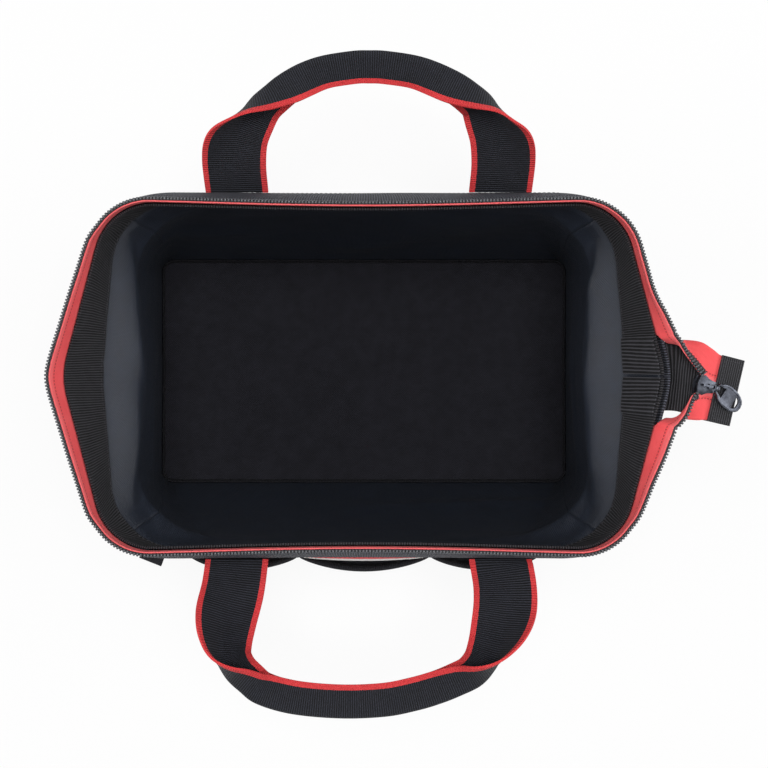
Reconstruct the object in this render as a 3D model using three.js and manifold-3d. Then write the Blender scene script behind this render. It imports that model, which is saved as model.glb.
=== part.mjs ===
// A zippered tool bag standing open, seen from above: padded cloth walls on a stiff base, a webbing
// band round the mouth, one zip that runs round the whole mouth to a tail at the right end, two
// carrying handles folded double at the grip, and a front pocket with three bays.
// Millimetres, +Z up, +X to the zip's slider, -Y to the front. The origin is the base's middle.
import * as THREE from 'three';
import { mergeVertices } from 'three/addons/utils/BufferGeometryUtils.js';
import Module from 'manifold-3d';

const wasm = await Module();
wasm.setup();

// Body: the base, the belly, where the long sides stand out and the ends crease in, and the open mouth
const baseLength = 330;
const baseWidth = 182;
const baseCornerRadius = 12;
const bellyHeight = 150;
const bellyLength = 324;
const bellyWidth = 231;
const bellyCornerRadius = 56;
const bellyBow = 2.2;
const creaseLength = 311;
const rimHeight = 222;
const mouthCornerLength = 313;
const mouthWidth = 214;
const mouthCornerRadius = 38;
const mouthLength = 372;
const mouthBow = -3;

// Cloth and board
const clearance = 0.3;
const sewnGap = 0.75;
const wallThickness = 1.2;
const paddingThickness = 2.5;
const liningThickness = 0.6;
const basePanelThickness = 1.6;
const boardThickness = 3;
const floorThickness = 0.8;
const pipingRadius = 1.6;
const bindingWidth = 2.4;
const bindingHeight = 3;

// Webbing
const bandWidth = 36;
const webbingThickness = 1.8;
const bandEndGap = 2;
const handleWidth = 40;
const footThickness = 1.7;
const handleCentre = 3;
const handleHalfSpacing = 84;
const backHandleReach = 90;
const frontHandleReach = 94;
const gripBendRadius = 1.7;
const gripFoldStart = 10;
const gripFoldEnd = 104;
const frontHandleAngle = 20;
const backHandleAngle = 36;
const frontFootLength = 72;

// Zip
const tapeThickness = 0.8;
const tapeWidth = 17;
const tapeExposed = 12;
const sideFlare = -1;
const leftFlare = 4.5;
const backArmFlare = 6.4;
const frontArmFlare = 8.5;
const toothPitch = 2;
const coilWidth = 3.4;
const coilHeight = 1.9;
const toothReach = 1.4;
const toothDepth = 1.3;

// Tail: the closed end of the zip beyond the mouth's right end. Each arm of the tape leaves the band at
// a place round the outline and passes points, given as its sewn edge and its free edge
const backArmStart = 1.35;
const backArm = [
  [[193, 25.4, 218.2], [192, 14.2, 229.4]],
  [[185.4, 23.4, 219.4], [188.2, 19.8, 231.6]],
];
const frontArmStart = 1.5;
const frontArm = [
  [[187.6, -27.2, 219], [192.4, -21.6, 229.4]],
  [[182.6, -26.6, 220.6], [187.4, -28, 230.6]],
];
const tailOrigin = [205, -5.5, 226];
const tailTurn = 13;
const tailDroop = 20;
const chainHalfWidth = 2.6;
const chainHeight = 2.2;
const stripWidth = 40;
const stripThickness = 1.5;
const capLength = 16;
const plateThickness = 1.2;
const channelHeight = 3;
const sliderLength = 12.6;
const sliderWidth = 12;
const crownWidth = 1.4;
const linkWire = 0.4;
const linkHalfWidth = 1.4;
const pullLength = 21.5;
const pullWidth = 13;
const pullTurn = 23;
const pullTilt = 4;
const pullThickness = 1.1;

// Front pocket, patch and corner tab
const pocketHalfLength = 122;
const pocketSeam = 44;
const pocketTop = 150;
const pocketBottom = 22;
const pocketBulge = 10;
const pocketThickness = 1.2;
const pocketBindingHeight = 8;
const pocketBindingThickness = 0.8;
const patchWidth = 88;
const patchHeight = 30;
const patchThickness = 0.6;
const tabWidth = 15;
const tabLength = 9;
const tabThickness = 1.2;

// Heights and depths that follow from the sizes above
const wallFoot = basePanelThickness + clearance;
const boardTop = wallFoot + boardThickness;
const floorTop = boardTop + clearance + floorThickness;
const innerFoot = floorTop + clearance;
const bandFoot = rimHeight - bandWidth;
const wallTop = rimHeight - 5;
const paddingTop = bandFoot - 8;
const paddingOut = -(wallThickness + clearance);
const paddingIn = paddingOut - paddingThickness;
const liningLow = paddingIn - clearance;
const liningHigh = paddingOut;
const tapeDepth = liningHigh + 0.45;
const outerBandIn = clearance;
const outerBandOut = outerBandIn + webbingThickness;
const innerBandOut = liningHigh - liningThickness - clearance;
const innerBandIn = innerBandOut - webbingThickness;
const outerBandHug = tapeDepth + tapeThickness / 2 + clearance + 0.1 - outerBandIn;
const innerBandHug = tapeDepth - tapeThickness / 2 - clearance - innerBandOut;

// Materials, as the photo shows them
const cloth = (name, color, roughness) => new THREE.MeshStandardMaterial({ name, color, roughness });
const steel = { roughness: 0.4, metalness: 0.8 };
const metal = (name, color) => new THREE.MeshStandardMaterial({ name, color, ...steel });
const wallCloth = cloth('wall_cloth', 0x1c1c1f, 0.85);
const liningCloth = cloth('lining_cloth', 0x26292d, 0.8);
const webbing = cloth('webbing', 0x222326, 0.8);
const boardPlastic = cloth('board', 0x2a2a2c, 0.6);
const paddingFoam = cloth('padding', 0x55565a, 0.9);
const redTape = cloth('red_tape', 0xe23a40, 0.75);
const coil = cloth('coil', 0x2e2f31, 0.4);
const patchCloth = cloth('patch', 0xf2f0ec, 0.7);
const gunmetal = metal('gunmetal', 0x4b4f56);

const bag = new THREE.Group();

function addPiece(name, geometry, material, parent = bag) {
  const mesh = new THREE.Mesh(geometry, material);
  mesh.name = name;
  parent.add(mesh);
  return mesh;
}

// Solids from grids and rings of points

function signedVolume(positions, faces) {
  const [a, b, c] = [new THREE.Vector3(), new THREE.Vector3(), new THREE.Vector3()];
  let total = 0;
  for (const [i, j, k] of faces) {
    a.copy(positions[i]);
    b.copy(positions[j]);
    c.copy(positions[k]);
    total += a.dot(b.cross(c)) / 6;
  }
  return total;
}

function solidFrom(positions, faces) {
  const outward = signedVolume(positions, faces) > 0;
  const index = faces.flatMap(([i, j, k]) => (outward ? [i, j, k] : [i, k, j]));
  const geometry = new THREE.BufferGeometry();
  const flat = positions.flatMap((p) => [p.x, p.y, p.z]);
  geometry.setAttribute('position', new THREE.Float32BufferAttribute(flat, 3));
  geometry.setIndex(index);
  return geometry;
}

// A sheet of cloth: the space between two grids of the same size, closed along its edges.
function sheet(front, back, closedLoop = false) {
  const rows = front.length;
  const columns = front[0].length;
  const positions = [...front.flat(), ...back.flat()];
  const faces = [];
  const f = (i, j) => (i % rows) * columns + j;
  const b = (i, j) => rows * columns + f(i, j);
  const quad = (p, q, r, s) => faces.push([p, q, r], [p, r, s]);
  const steps = closedLoop ? rows : rows - 1;
  const last = columns - 1;
  for (let i = 0; i < steps; i += 1) {
    for (let j = 0; j < last; j += 1) {
      quad(f(i, j), f(i + 1, j), f(i + 1, j + 1), f(i, j + 1));
      quad(b(i, j), b(i, j + 1), b(i + 1, j + 1), b(i + 1, j));
    }
    quad(f(i + 1, 0), f(i, 0), b(i, 0), b(i + 1, 0));
    quad(f(i, last), f(i + 1, last), b(i + 1, last), b(i, last));
  }
  if (!closedLoop) {
    const end = rows - 1;
    for (let j = 0; j < last; j += 1) {
      quad(f(0, j), f(0, j + 1), b(0, j + 1), b(0, j));
      quad(f(end, j + 1), f(end, j), b(end, j), b(end, j + 1));
    }
  }
  return solidFrom(positions, faces);
}

function gridNormals(grid, closedLoop = false) {
  const rows = grid.length;
  return grid.map((row, i) => row.map((point, j) => {
    const after = closedLoop ? (i + 1) % rows : Math.min(i + 1, rows - 1);
    const before = closedLoop ? (i - 1 + rows) % rows : Math.max(i - 1, 0);
    const along = grid[after][j].clone().sub(grid[before][j]);
    const across = row[Math.min(j + 1, row.length - 1)].clone().sub(row[Math.max(j - 1, 0)]);
    return along.cross(across).normalize();
  }));
}

function thickened(grid, thickness, closedLoop = false) {
  const normals = gridNormals(grid, closedLoop);
  const shift = (by, i) => (point, j) => point.clone().addScaledVector(normals[i][j], by);
  const moved = (by) => grid.map((row, i) => row.map(shift(by, i)));
  return sheet(moved(thickness / 2), moved(-thickness / 2), closedLoop);
}

// A bar through rings of points, with flat ends, or joined end to end as a closed loop.
function bar(rings, closedLoop = false) {
  const sides = rings[0].length;
  const positions = rings.flat();
  const faces = [];
  const at = (i, j) => (i % rings.length) * sides + (j % sides);
  const steps = closedLoop ? rings.length : rings.length - 1;
  for (let i = 0; i < steps; i += 1) {
    for (let j = 0; j < sides; j += 1) {
      faces.push([at(i, j), at(i + 1, j), at(i + 1, j + 1)], [at(i, j), at(i + 1, j + 1), at(i, j + 1)]);
    }
  }
  if (!closedLoop) {
    const end = rings.length - 1;
    for (let j = 1; j < sides - 1; j += 1) {
      faces.push([at(0, 0), at(0, j), at(0, j + 1)], [at(end, 0), at(end, j + 1), at(end, j)]);
    }
  }
  return solidFrom(positions, faces);
}

function toManifold(geometry) {
  const plain = geometry.clone();
  plain.deleteAttribute('normal');
  plain.deleteAttribute('uv');
  const merged = mergeVertices(plain, 1e-4);
  const vertProperties = new Float32Array(merged.attributes.position.array);
  const triVerts = new Uint32Array(merged.index.array);
  return new wasm.Manifold(new wasm.Mesh({ numProp: 3, vertProperties, triVerts }));
}

function fromManifold(solid) {
  const mesh = solid.getMesh();
  const geometry = new THREE.BufferGeometry();
  geometry.setAttribute('position', new THREE.BufferAttribute(new Float32Array(mesh.vertProperties), 3));
  geometry.setIndex(new THREE.BufferAttribute(new Uint32Array(mesh.triVerts), 1));
  return geometry;
}

function joined(geometries) {
  return fromManifold(geometries.map(toManifold).reduce((sum, part) => sum.add(part)));
}

function cutBy(geometry, holes) {
  const solid = toManifold(geometry);
  return fromManifold(holes.map(toManifold).reduce((rest, hole) => rest.subtract(hole), solid));
}

// A plate: an outline seen from above, and its height
function slab(points, bottom, thickness) {
  const shape = new THREE.Shape(points.map(([x, y]) => new THREE.Vector2(x, y)));
  const geometry = new THREE.ExtrudeGeometry(shape, { depth: thickness, bevelEnabled: false });
  return geometry.translate(0, 0, bottom);
}

// A slice: an outline seen from the front, and its width centred on y = 0
function upright(points, width) {
  return slab(points, 0, width).rotateX(Math.PI / 2).translate(0, width / 2, 0);
}

// The bag's outline at any height: half of the mouth's hexagon, rounded at its corners

const tipRun = 14;
const arcSteps = 4;

function sectionAt(z) {
  const low = Math.min(z / bellyHeight, 1);
  const high = Math.max((z - bellyHeight) / (rimHeight - bellyHeight), 0);
  const ease = Math.sin((Math.PI / 2) * low);
  const mix = (from, to, share) => from + (to - from) * share;
  return {
    tip: mix(mix(baseLength, creaseLength, ease), mouthLength, high) / 2,
    cornerX: mix(mix(baseLength, bellyLength, ease), mouthCornerLength, high ** 2.5) / 2,
    cornerY: mix(mix(baseWidth, bellyWidth, ease), mouthWidth, high ** 2.5) / 2,
    radius: mix(mix(baseCornerRadius, bellyCornerRadius, low), mouthCornerRadius, high),
    bow: mix(bellyBow * low, mouthBow, high),
  };
}

function quarterOutline(z) {
  const { tip, cornerX, cornerY, radius, bow } = sectionAt(z);
  const tipPoint = new THREE.Vector2(tip, 0);
  const corner = new THREE.Vector2(cornerX, cornerY);
  const side = corner.clone().sub(tipPoint).normalize();
  const turn = Math.acos(-side.x);
  const tangent = radius * Math.tan(turn / 2);
  const tipSide = tipPoint.clone().addScaledVector(side, tipRun);
  const arcStart = corner.clone().addScaledVector(side, -tangent);
  const arcEnd = corner.clone().add(new THREE.Vector2(-tangent, 0));
  const centre = new THREE.Vector2(arcEnd.x, arcEnd.y - radius);
  const points = [new THREE.Vector2((tip + tipSide.x) / 2, 0), tipSide];
  points.push(tipSide.clone().add(arcStart).multiplyScalar(0.5));
  for (let i = 0; i <= arcSteps; i += 1) {
    const angle = Math.PI / 2 - turn * (1 - i / arcSteps);
    points.push(new THREE.Vector2(Math.cos(angle), Math.sin(angle)).multiplyScalar(radius).add(centre));
  }
  for (const share of [2 / 3, 1 / 3, 0]) points.push(new THREE.Vector2(arcEnd.x * share, arcEnd.y));
  for (const point of points) {
    const inside = Math.max(1 - (point.x / cornerX) ** 2, 0);
    if (point.y > tipRun) point.y += bow * inside ** 2;
  }
  return points;
}

function outlineAt(z) {
  const quarter = quarterOutline(z);
  const inner = quarter.slice(1, -1);
  const mirrored = (list, sx, sy) => list.map((p) => new THREE.Vector2(p.x * sx, p.y * sy));
  const [tip, long] = [quarter[0], quarter[quarter.length - 1]];
  return [
    tip, ...inner, long, ...mirrored(inner.slice().reverse(), -1, 1),
    new THREE.Vector2(-tip.x, 0), ...mirrored(inner, -1, -1),
    new THREE.Vector2(0, -long.y), ...mirrored(inner.slice().reverse(), 1, -1),
  ];
}

const levels = [wallFoot, 0.32 * bellyHeight, 0.68 * bellyHeight, bellyHeight, paddingTop, bandFoot];
levels.push(wallTop, rimHeight);
const outlines = levels.map(outlineAt);
const outlineCount = outlines[0].length;
const quarterCount = outlineCount / 4;
const cornerMiddle = 3 + arcSteps / 2;
const offsetCache = new Map();

// Outlines moved outward by a distance that stays square to every straight stretch
function offsetOutline(level, distance) {
  const key = `${level}/${distance}`;
  if (!offsetCache.has(key)) {
    const ring = outlines[level];
    const normal = (from, to) => new THREE.Vector2(to.y - from.y, from.x - to.x).normalize();
    offsetCache.set(key, ring.map((point, i) => {
      const before = normal(ring[(i - 1 + outlineCount) % outlineCount], point);
      const after = normal(point, ring[(i + 1) % outlineCount]);
      const mitre = before.clone().add(after).divideScalar(1 + before.dot(after));
      return point.clone().addScaledVector(mitre, distance);
    }));
  }
  return offsetCache.get(key);
}

function onRing(ring, k) {
  const base = Math.floor(k);
  const wrapped = ((base % outlineCount) + outlineCount) % outlineCount;
  return ring[wrapped].clone().lerp(ring[(wrapped + 1) % outlineCount], k - base);
}

function levelBelow(z) {
  let level = 0;
  while (level < levels.length - 2 && levels[level + 1] <= z) level += 1;
  return level;
}

// A point of the bag's skin: outline place k, height z, moved outward by the given distance
function skinPoint(k, z, distance) {
  const level = levelBelow(z);
  const share = (z - levels[level]) / (levels[level + 1] - levels[level]);
  const low = onRing(offsetOutline(level, distance), k);
  const high = onRing(offsetOutline(level + 1, distance), k);
  const point = low.lerp(high, share);
  return new THREE.Vector3(point.x, point.y, z);
}

// How far out the skin of a long side stands, at a place along the bag and a height: side is 1 or -1
function skinWidth(x, z, distance, side) {
  const level = levelBelow(z);
  const [bottom, top] = [offsetOutline(level, distance), offsetOutline(level + 1, distance)];
  const first = (side > 0 ? 0 : 2 * quarterCount) + 3;
  const target = new THREE.Vector3(x, z, 0);
  const flat = (point, height) => new THREE.Vector3(point.x, height, 0);
  for (let i = first; i < first + 2 * quarterCount - 6; i += 1) {
    const corners = [[bottom[i], levels[level]], [bottom[i + 1], levels[level]],
      [top[i + 1], levels[level + 1]], [top[i], levels[level + 1]]];
    for (const three of [[0, 1, 2], [0, 2, 3]]) {
      const [a, b, c] = three.map((n) => flat(...corners[n]));
      const share = THREE.Triangle.getBarycoord(target, a, b, c, new THREE.Vector3());
      if (share && Math.min(share.x, share.y, share.z) >= -1e-6) {
        const [ya, yb, yc] = three.map((n) => corners[n][0].y);
        return Math.abs(share.x * ya + share.y * yb + share.z * yc);
      }
    }
  }
  return 0;
}

// Walls: outer cloth, padding and lining, each cut at the four corner seams

function seamPlace(k, z, towards) {
  const ring = outlines[levelBelow(z)];
  const step = onRing(ring, k + towards).distanceTo(onRing(ring, k));
  return k + (towards * clearance) / 2 / step;
}

function wallSheet(start, end, heights, outAt, inAt) {
  const stations = [];
  for (let k = start; k <= end; k += 1) stations.push(k);
  const place = (k, z) => {
    if (k === start) return seamPlace(k, z, 1);
    return k === end ? seamPlace(k, z, -1) : k;
  };
  const grid = (depthAt) => stations.map((k) => heights.map((z) => skinPoint(place(k, z), z, depthAt(z))));
  return sheet(grid(outAt), grid(inAt));
}

const sides = [
  ['back', cornerMiddle, 2 * quarterCount - cornerMiddle],
  ['left_end', 2 * quarterCount - cornerMiddle, 2 * quarterCount + cornerMiddle],
  ['front', 2 * quarterCount + cornerMiddle, outlineCount - cornerMiddle],
  ['right_end', outlineCount - cornerMiddle, outlineCount + cornerMiddle],
];
const wallHeights = levels.slice(0, -1);
const paddingHeights = [innerFoot, ...levels.slice(1, 5)];
const liningHeights = [...paddingHeights, ...levels.slice(5, -1)];
const liningDepth = (z) => (z > paddingTop ? liningHigh : liningLow);

for (const [side, start, end] of sides) {
  addPiece(`${side}_wall`, wallSheet(start, end, wallHeights, () => 0, () => -wallThickness), wallCloth);
  const padding = wallSheet(start, end, paddingHeights, () => paddingOut, () => paddingIn);
  addPiece(`${side}_padding`, padding, paddingFoam);
  const liningIn = (z) => liningDepth(z) - liningThickness;
  addPiece(`${side}_lining`, wallSheet(start, end, liningHeights, liningDepth, liningIn), liningCloth);
}

// Base: panel, board, floor, the piping of the base seam and the binding of the floor seam

function baseSheet(inset, bottom, thickness) {
  const [low, high] = [bottom, bottom + thickness].map((z) => Math.max(z, wallFoot));
  const smaller = (a, b) => Math.sign(a) * Math.min(Math.abs(a), Math.abs(b));
  const ring = [...Array(outlineCount).keys()].map((k) => {
    const [a, b] = [skinPoint(k, low, -inset), skinPoint(k, high, -inset)];
    return [smaller(a.x, b.x), smaller(a.y, b.y)];
  });
  return slab(ring, bottom, thickness);
}

addPiece('base_panel', baseSheet(0, 0, basePanelThickness), wallCloth);
const boardInset = wallThickness + clearance;
addPiece('base_board', baseSheet(boardInset, wallFoot, boardThickness), boardPlastic);
addPiece('floor_lining', baseSheet(boardInset, boardTop + clearance, floorThickness), liningCloth);

const cornerPlaces = [];
for (let quarter = 0; quarter < 4; quarter += 1) {
  const first = quarter % 2 === 0 ? 3 : quarterCount - 3 - arcSteps;
  for (let i = 0; i <= arcSteps; i += 1) cornerPlaces.push(quarter * quarterCount + first + i);
}

function basePiping() {
  const centre = pipingRadius + clearance;
  return bar(cornerPlaces.map((k) => {
    const ring = [];
    for (let i = 0; i < 6; i += 1) {
      const angle = (i * Math.PI) / 3;
      const point = skinPoint(k, wallFoot, centre + pipingRadius * Math.cos(angle));
      ring.push(point.setZ(wallFoot + pipingRadius * Math.sin(angle)));
    }
    return ring;
  }), true);
}
addPiece('base_piping', basePiping(), wallCloth);

function floorBinding() {
  const out = liningLow - liningThickness - clearance;
  const stations = [...Array(outlineCount).keys()];
  const grid = (depth) => stations.map((k) => [innerFoot, innerFoot + bindingHeight].map(
    (z) => skinPoint(k, z, depth),
  ));
  return sheet(grid(out), grid(out - bindingWidth), true);
}
addPiece('floor_binding', floorBinding(), webbing);

// Mouth bands: the outer one is a closed ring, the inner one's ends meet at the right end

const bandHeights = levels.slice(5);
const hugged = (depth, shift) => (z) => (z > wallTop ? depth + shift : depth);

function outerBand() {
  const stations = [...Array(outlineCount).keys()];
  const grid = (depthAt) => stations.map((k) => bandHeights.map((z) => skinPoint(k, z, depthAt(z))));
  return sheet(grid(hugged(outerBandOut, outerBandHug)), grid(hugged(outerBandIn, outerBandHug)), true);
}
addPiece('rim_webbing_outer', outerBand(), webbing);

function innerBand() {
  const gapShare = bandEndGap / 2 / tipRun;
  const between = [...Array(outlineCount).keys()].slice(1);
  const stations = [gapShare, ...between, outlineCount - gapShare];
  const grid = (depthAt) => stations.map((k) => bandHeights.map((z) => skinPoint(k, z, depthAt(z))));
  return sheet(grid(hugged(innerBandOut, innerBandHug)), grid(hugged(innerBandIn, innerBandHug)));
}
addPiece('rim_webbing_inner', innerBand(), webbing);

// Tail frame: along the closed zip, across it, and square to its tape

const radians = (degrees) => (degrees * Math.PI) / 180;
const tail = new THREE.Group();
tail.position.set(...tailOrigin);
tail.rotation.set(0, radians(tailDroop), -radians(tailTurn), 'ZYX');
tail.updateMatrixWorld(true);
bag.add(tail);
const tailPoint = (x, y, z) => new THREE.Vector3(x, y, z).applyMatrix4(tail.matrixWorld);

// Zip tape: its sewn edge, the fold where it leaves the band, and its free edge with the teeth

const exposedShare = (tapeWidth - tapeExposed) / tapeWidth;
const foldTop = rimHeight + 0.4;

// How far the free edge leans out of the rim, at places round the outline
const flares = [
  [0, backArmFlare], [1.3, backArmFlare], [1.65, 0.6 * backArmFlare], [2.1, 0], [5, sideFlare],
  [16, sideFlare], [18, 0.5 * leftFlare], [20, leftFlare], [22, 0.5 * leftFlare], [24, sideFlare],
  [36, sideFlare], [37, 0.1 * frontArmFlare], [37.5, 0.35 * frontArmFlare], [38, 0.7 * frontArmFlare],
  [38.6, frontArmFlare], [40, frontArmFlare],
];

function flareAt(k) {
  const next = flares.findIndex(([place]) => place > k);
  const [[startPlace, start], [endPlace, end]] = [flares[next - 1], flares[next]];
  return start + ((end - start) * (k - startPlace)) / (endPlace - startPlace);
}

function rimStation(k) {
  const place = (k + outlineCount) % outlineCount;
  const rim = skinPoint(place, rimHeight, tapeDepth);
  const outward = skinPoint(place, rimHeight, 1).sub(skinPoint(place, rimHeight, 0)).normalize();
  const flare = flareAt(place);
  const fold = rim.clone().setZ(foldTop);
  const edge = fold.clone().addScaledVector(outward, flare);
  edge.z += Math.sqrt(tapeExposed ** 2 - flare ** 2);
  return [skinPoint(place, wallTop + clearance, tapeDepth), fold, edge];
}

function freeStation(sewn, edge) {
  return [sewn, sewn.clone().lerp(edge, exposedShare), edge];
}

// From the cap back to the band on one side of the tail: 1 is the back side and -1 the front
function tailStations(side) {
  const inner = chainHalfWidth + clearance;
  const outer = inner + tapeWidth;
  const flat = (x) => freeStation(tailPoint(x, side * outer, 0), tailPoint(x, side * inner, 0));
  const point = (x, y, z) => new THREE.Vector3(x, y, z);
  const [start, arm] = side > 0 ? [backArmStart, backArm] : [frontArmStart, frontArm];
  const moved = (from, x, y, z) => from.clone().add(point(x, side * y, z));
  const [, fold, edge] = rimStation(side * start);
  return [
    flat(capLength + 4),
    flat(7),
    freeStation(tailPoint(0.6, side * (outer + 1.5), -1), tailPoint(0.6, side * inner, 0)),
    freeStation(tailPoint(-6, side * (outer + 2.7), -5.4), tailPoint(-6.8, side * 7.4, 0)),
    ...arm.map(([sewn, free]) => freeStation(point(...sewn), point(...free))),
    [moved(fold, 1.4, -1.6, 1.2), moved(fold, 1, -1.8, 2.6), moved(edge, 0.8, -2.2, 0)],
    [fold, moved(fold, 0, 0, 1), edge],
    rimStation(side * (start + 0.03)),
  ];
}

// The turn from the rim to the tail, made smooth with one more station between each two
function smoothed(stations) {
  const curve = (points) => new THREE.CatmullRomCurve3(points, false, 'centripetal');
  const columns = [0, 1, 2].map((j) => curve(stations.map((row) => row[j])));
  const count = 2 * (stations.length - 1);
  return [...Array(count + 1).keys()].map((i) => columns.map((column) => column.getPoint(i / count)));
}

const armPlaces = [1.65, 1.8, 2, 2.25, 2.5, 2.75];
const zipStations = [...smoothed(tailStations(1)), ...armPlaces.map(rimStation)];
for (let k = 3; k <= outlineCount - 3; k += 1) zipStations.push(rimStation(k));
zipStations.push(...armPlaces.map((k) => rimStation(-k)).reverse());
zipStations.push(...smoothed(tailStations(-1)).reverse());
addPiece('zip_tape', thickened(zipStations, tapeThickness), redTape);

// Zip teeth: a coil of pointed turns on the tape's outer face, one turn to a pitch

function zipTeeth() {
  const first = 6;
  const last = zipStations.length - 7;
  const normals = gridNormals(zipStations).map((row) => row[2]);
  const lengths = [0];
  for (let i = first; i < last; i += 1) {
    lengths.push(lengths[lengths.length - 1] + zipStations[i][2].distanceTo(zipStations[i + 1][2]));
  }
  const total = lengths[lengths.length - 1];
  const count = 2 * Math.round(total / toothPitch);
  const rings = [];
  let segment = 0;
  for (let i = 0; i <= count; i += 1) {
    const place = (total * i) / count;
    while (segment < lengths.length - 2 && lengths[segment + 1] < place) segment += 1;
    const share = (place - lengths[segment]) / (lengths[segment + 1] - lengths[segment]);
    const [here, next] = [zipStations[first + segment], zipStations[first + segment + 1]];
    const edge = here[2].clone().lerp(next[2], share);
    const fold = here[1].clone().lerp(next[1], share);
    const outward = edge.clone().sub(fold).normalize();
    const face = normals[first + segment].clone().lerp(normals[first + segment + 1], share).normalize();
    const reach = i % 2 === 0 ? toothReach - toothDepth : toothReach;
    const at = (across, up) => edge.clone().addScaledVector(outward, across).addScaledVector(face, up);
    const bottom = tapeThickness / 2 + sewnGap;
    rings.push([at(reach - coilWidth - (toothReach - reach), bottom), at(reach, bottom + 0.4 * coilHeight),
      at(-coilWidth / 2, bottom + coilHeight)]);
  }
  return bar(rings);
}
addPiece('zip_teeth', zipTeeth(), coil);

// Closed chain of the tail: both rows of teeth meshed, from the slider to the cap
function tailChain() {
  const rings = [];
  const start = 1.2;
  const steps = 5;
  for (let i = 0; i <= steps; i += 1) {
    const x = start + (i * toothPitch) / 2;
    const half = i % 2 === 0 ? chainHalfWidth - 0.5 : chainHalfWidth;
    const high = (i % 2 === 0 ? 0.8 : 1) * (chainHeight / 2);
    rings.push([[half, high], [-half, high], [-half, -high], [half, -high]].map(
      ([y, z]) => new THREE.Vector3(x, y, z),
    ));
  }
  return bar(rings);
}
addPiece('zip_tail_chain', tailChain(), coil, tail);

// Tail strip: webbing sewn to the outside of the band, out under the slider and into the cap

const plateBottom = -(channelHeight / 2 + plateThickness);
const stripSeat = plateBottom - clearance - stripThickness / 2;
const stripEnd = -(tapeThickness / 2 + clearance + stripThickness / 2);
const capStart = 6.6;

function tailStrip() {
  const offBand = outerBandOut + sewnGap + 0.3 + stripThickness / 2;
  const half = stripWidth / 2;
  const offsets = [-half, -tipRun, 0, tipRun, half];
  const leg = (z, reach) => offsets.map((y) => {
    const place = y / tipRun;
    const k = Math.abs(place) > 1 ? Math.sign(place) * 1.2 : place;
    return skinPoint(k, z, offBand).add(new THREE.Vector3(reach, 0, 0));
  });
  const under = (x, y, z) => offsets.map((offset) => new THREE.Vector3(x + 0.1 * offset, y + offset, z));
  const tip = skinPoint(0, rimHeight, offBand).x;
  return thickened([
    leg(202, 0),
    leg(211, 0),
    leg(215.4, 0.7),
    under(tip + 3.2, -1.2, 218.3),
    under(tip + 9, -2.8, 220.1),
    offsets.map((y) => tailPoint(0, y, stripSeat - 0.6)),
    offsets.map((y) => tailPoint(capStart, y, stripSeat)),
    offsets.map((y) => tailPoint(capStart + capLength - 3, y, stripEnd)),
  ], stripThickness);
}
addPiece('tail_strip', tailStrip(), webbing);

// Tail cap: a short length of the same webbing folded over the tail's end
function tailCap() {
  const half = stripThickness / 2;
  const top = tapeThickness / 2 + clearance + half;
  const nearBottom = stripSeat - stripThickness - clearance - 0.1;
  const farBottom = stripEnd - stripThickness - clearance;
  const end = capStart + capLength;
  const profile = [[capStart, top], [end - 1.2, top], [end, top - 0.8], [end + 0.5, (top + farBottom) / 2],
    [end, farBottom + 0.8], [end - 1.2, farBottom], [capStart, nearBottom]];
  const offsets = [-stripWidth / 2 - 0.4, 0, stripWidth / 2 + 0.4];
  return thickened(offsets.map((y) => profile.map(([x, z]) => new THREE.Vector3(x, y, z))), stripThickness);
}
addPiece('tail_cap', tailCap(), webbing, tail);

// Slider: two shield plates on a centre post, side flanges, and the crown that holds the link

const sliderFront = -0.54 * sliderLength;
const sliderBack = 0.46 * sliderLength;
const flangeHeight = 0.8;
const crownGap = 1.6;
const crownHeight = 1;

function sliderBody() {
  const half = sliderWidth / 2;
  const upper = [[sliderBack, 3.2], [0.5, 4.3], [-2.6, half]];
  upper.push([sliderFront + 1, half - 0.9], [sliderFront, 1.6]);
  const outline = [...upper.map(([x, y]) => [x, -y]), ...upper.slice().reverse()];
  const rest = channelHeight / 2;
  const parts = [slab(outline, rest, plateThickness), slab(outline, -rest - plateThickness, plateThickness)];
  for (const side of [-1, 1]) {
    const flange = [[sliderBack, side * 3.2], [0, side * 4.4], [0, side * 3.4], [sliderBack, side * 2.95]];
    parts.push(slab(flange, rest - flangeHeight, flangeHeight + 0.2));
    parts.push(slab(flange, -rest - 0.2, flangeHeight + 0.2));
  }
  const post = [[0.4, 0], [2, 1.3], [3.6, 0], [2, -1.3]].map(([x, y]) => [sliderFront + x, y]);
  parts.push(slab(post, -rest - 0.2, channelHeight + 0.4));
  const plateTop = rest + plateThickness;
  const crownTop = plateTop + crownGap + crownHeight;
  const foot = plateTop - 0.2;
  const under = crownTop - crownHeight;
  const outside = [[-4.4, foot], [-4.2, crownTop - 0.5], [-3.4, crownTop]];
  outside.push([2.4, crownTop], [3.2, crownTop - 0.5]);
  const inside = [[3.3, foot], [2.2, foot], [2.1, under], [-3, under], [-3.1, foot]];
  parts.push(upright([...outside, ...inside], crownWidth));
  return joined(parts);
}
addPiece('slider_body', sliderBody(), gunmetal, tail);

// Link: a narrow bar under the crown, an arm on either side of it, and a closed eye for the tab's bar

const linkHinge = [1.2, channelHeight / 2 + plateThickness + 0.95];
const eyeInner = 1.2;
const eyeOuter = 1.65;
const pullHinge = [6, channelHeight / 2 + plateThickness + clearance + eyeOuter];

function circle(radius, count, [x, z]) {
  return [...Array(count).keys()].map((i) => {
    const angle = ((i + 0.5) * 2 * Math.PI) / count;
    return [x + radius * Math.cos(angle), z + radius * Math.sin(angle)];
  });
}

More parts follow.
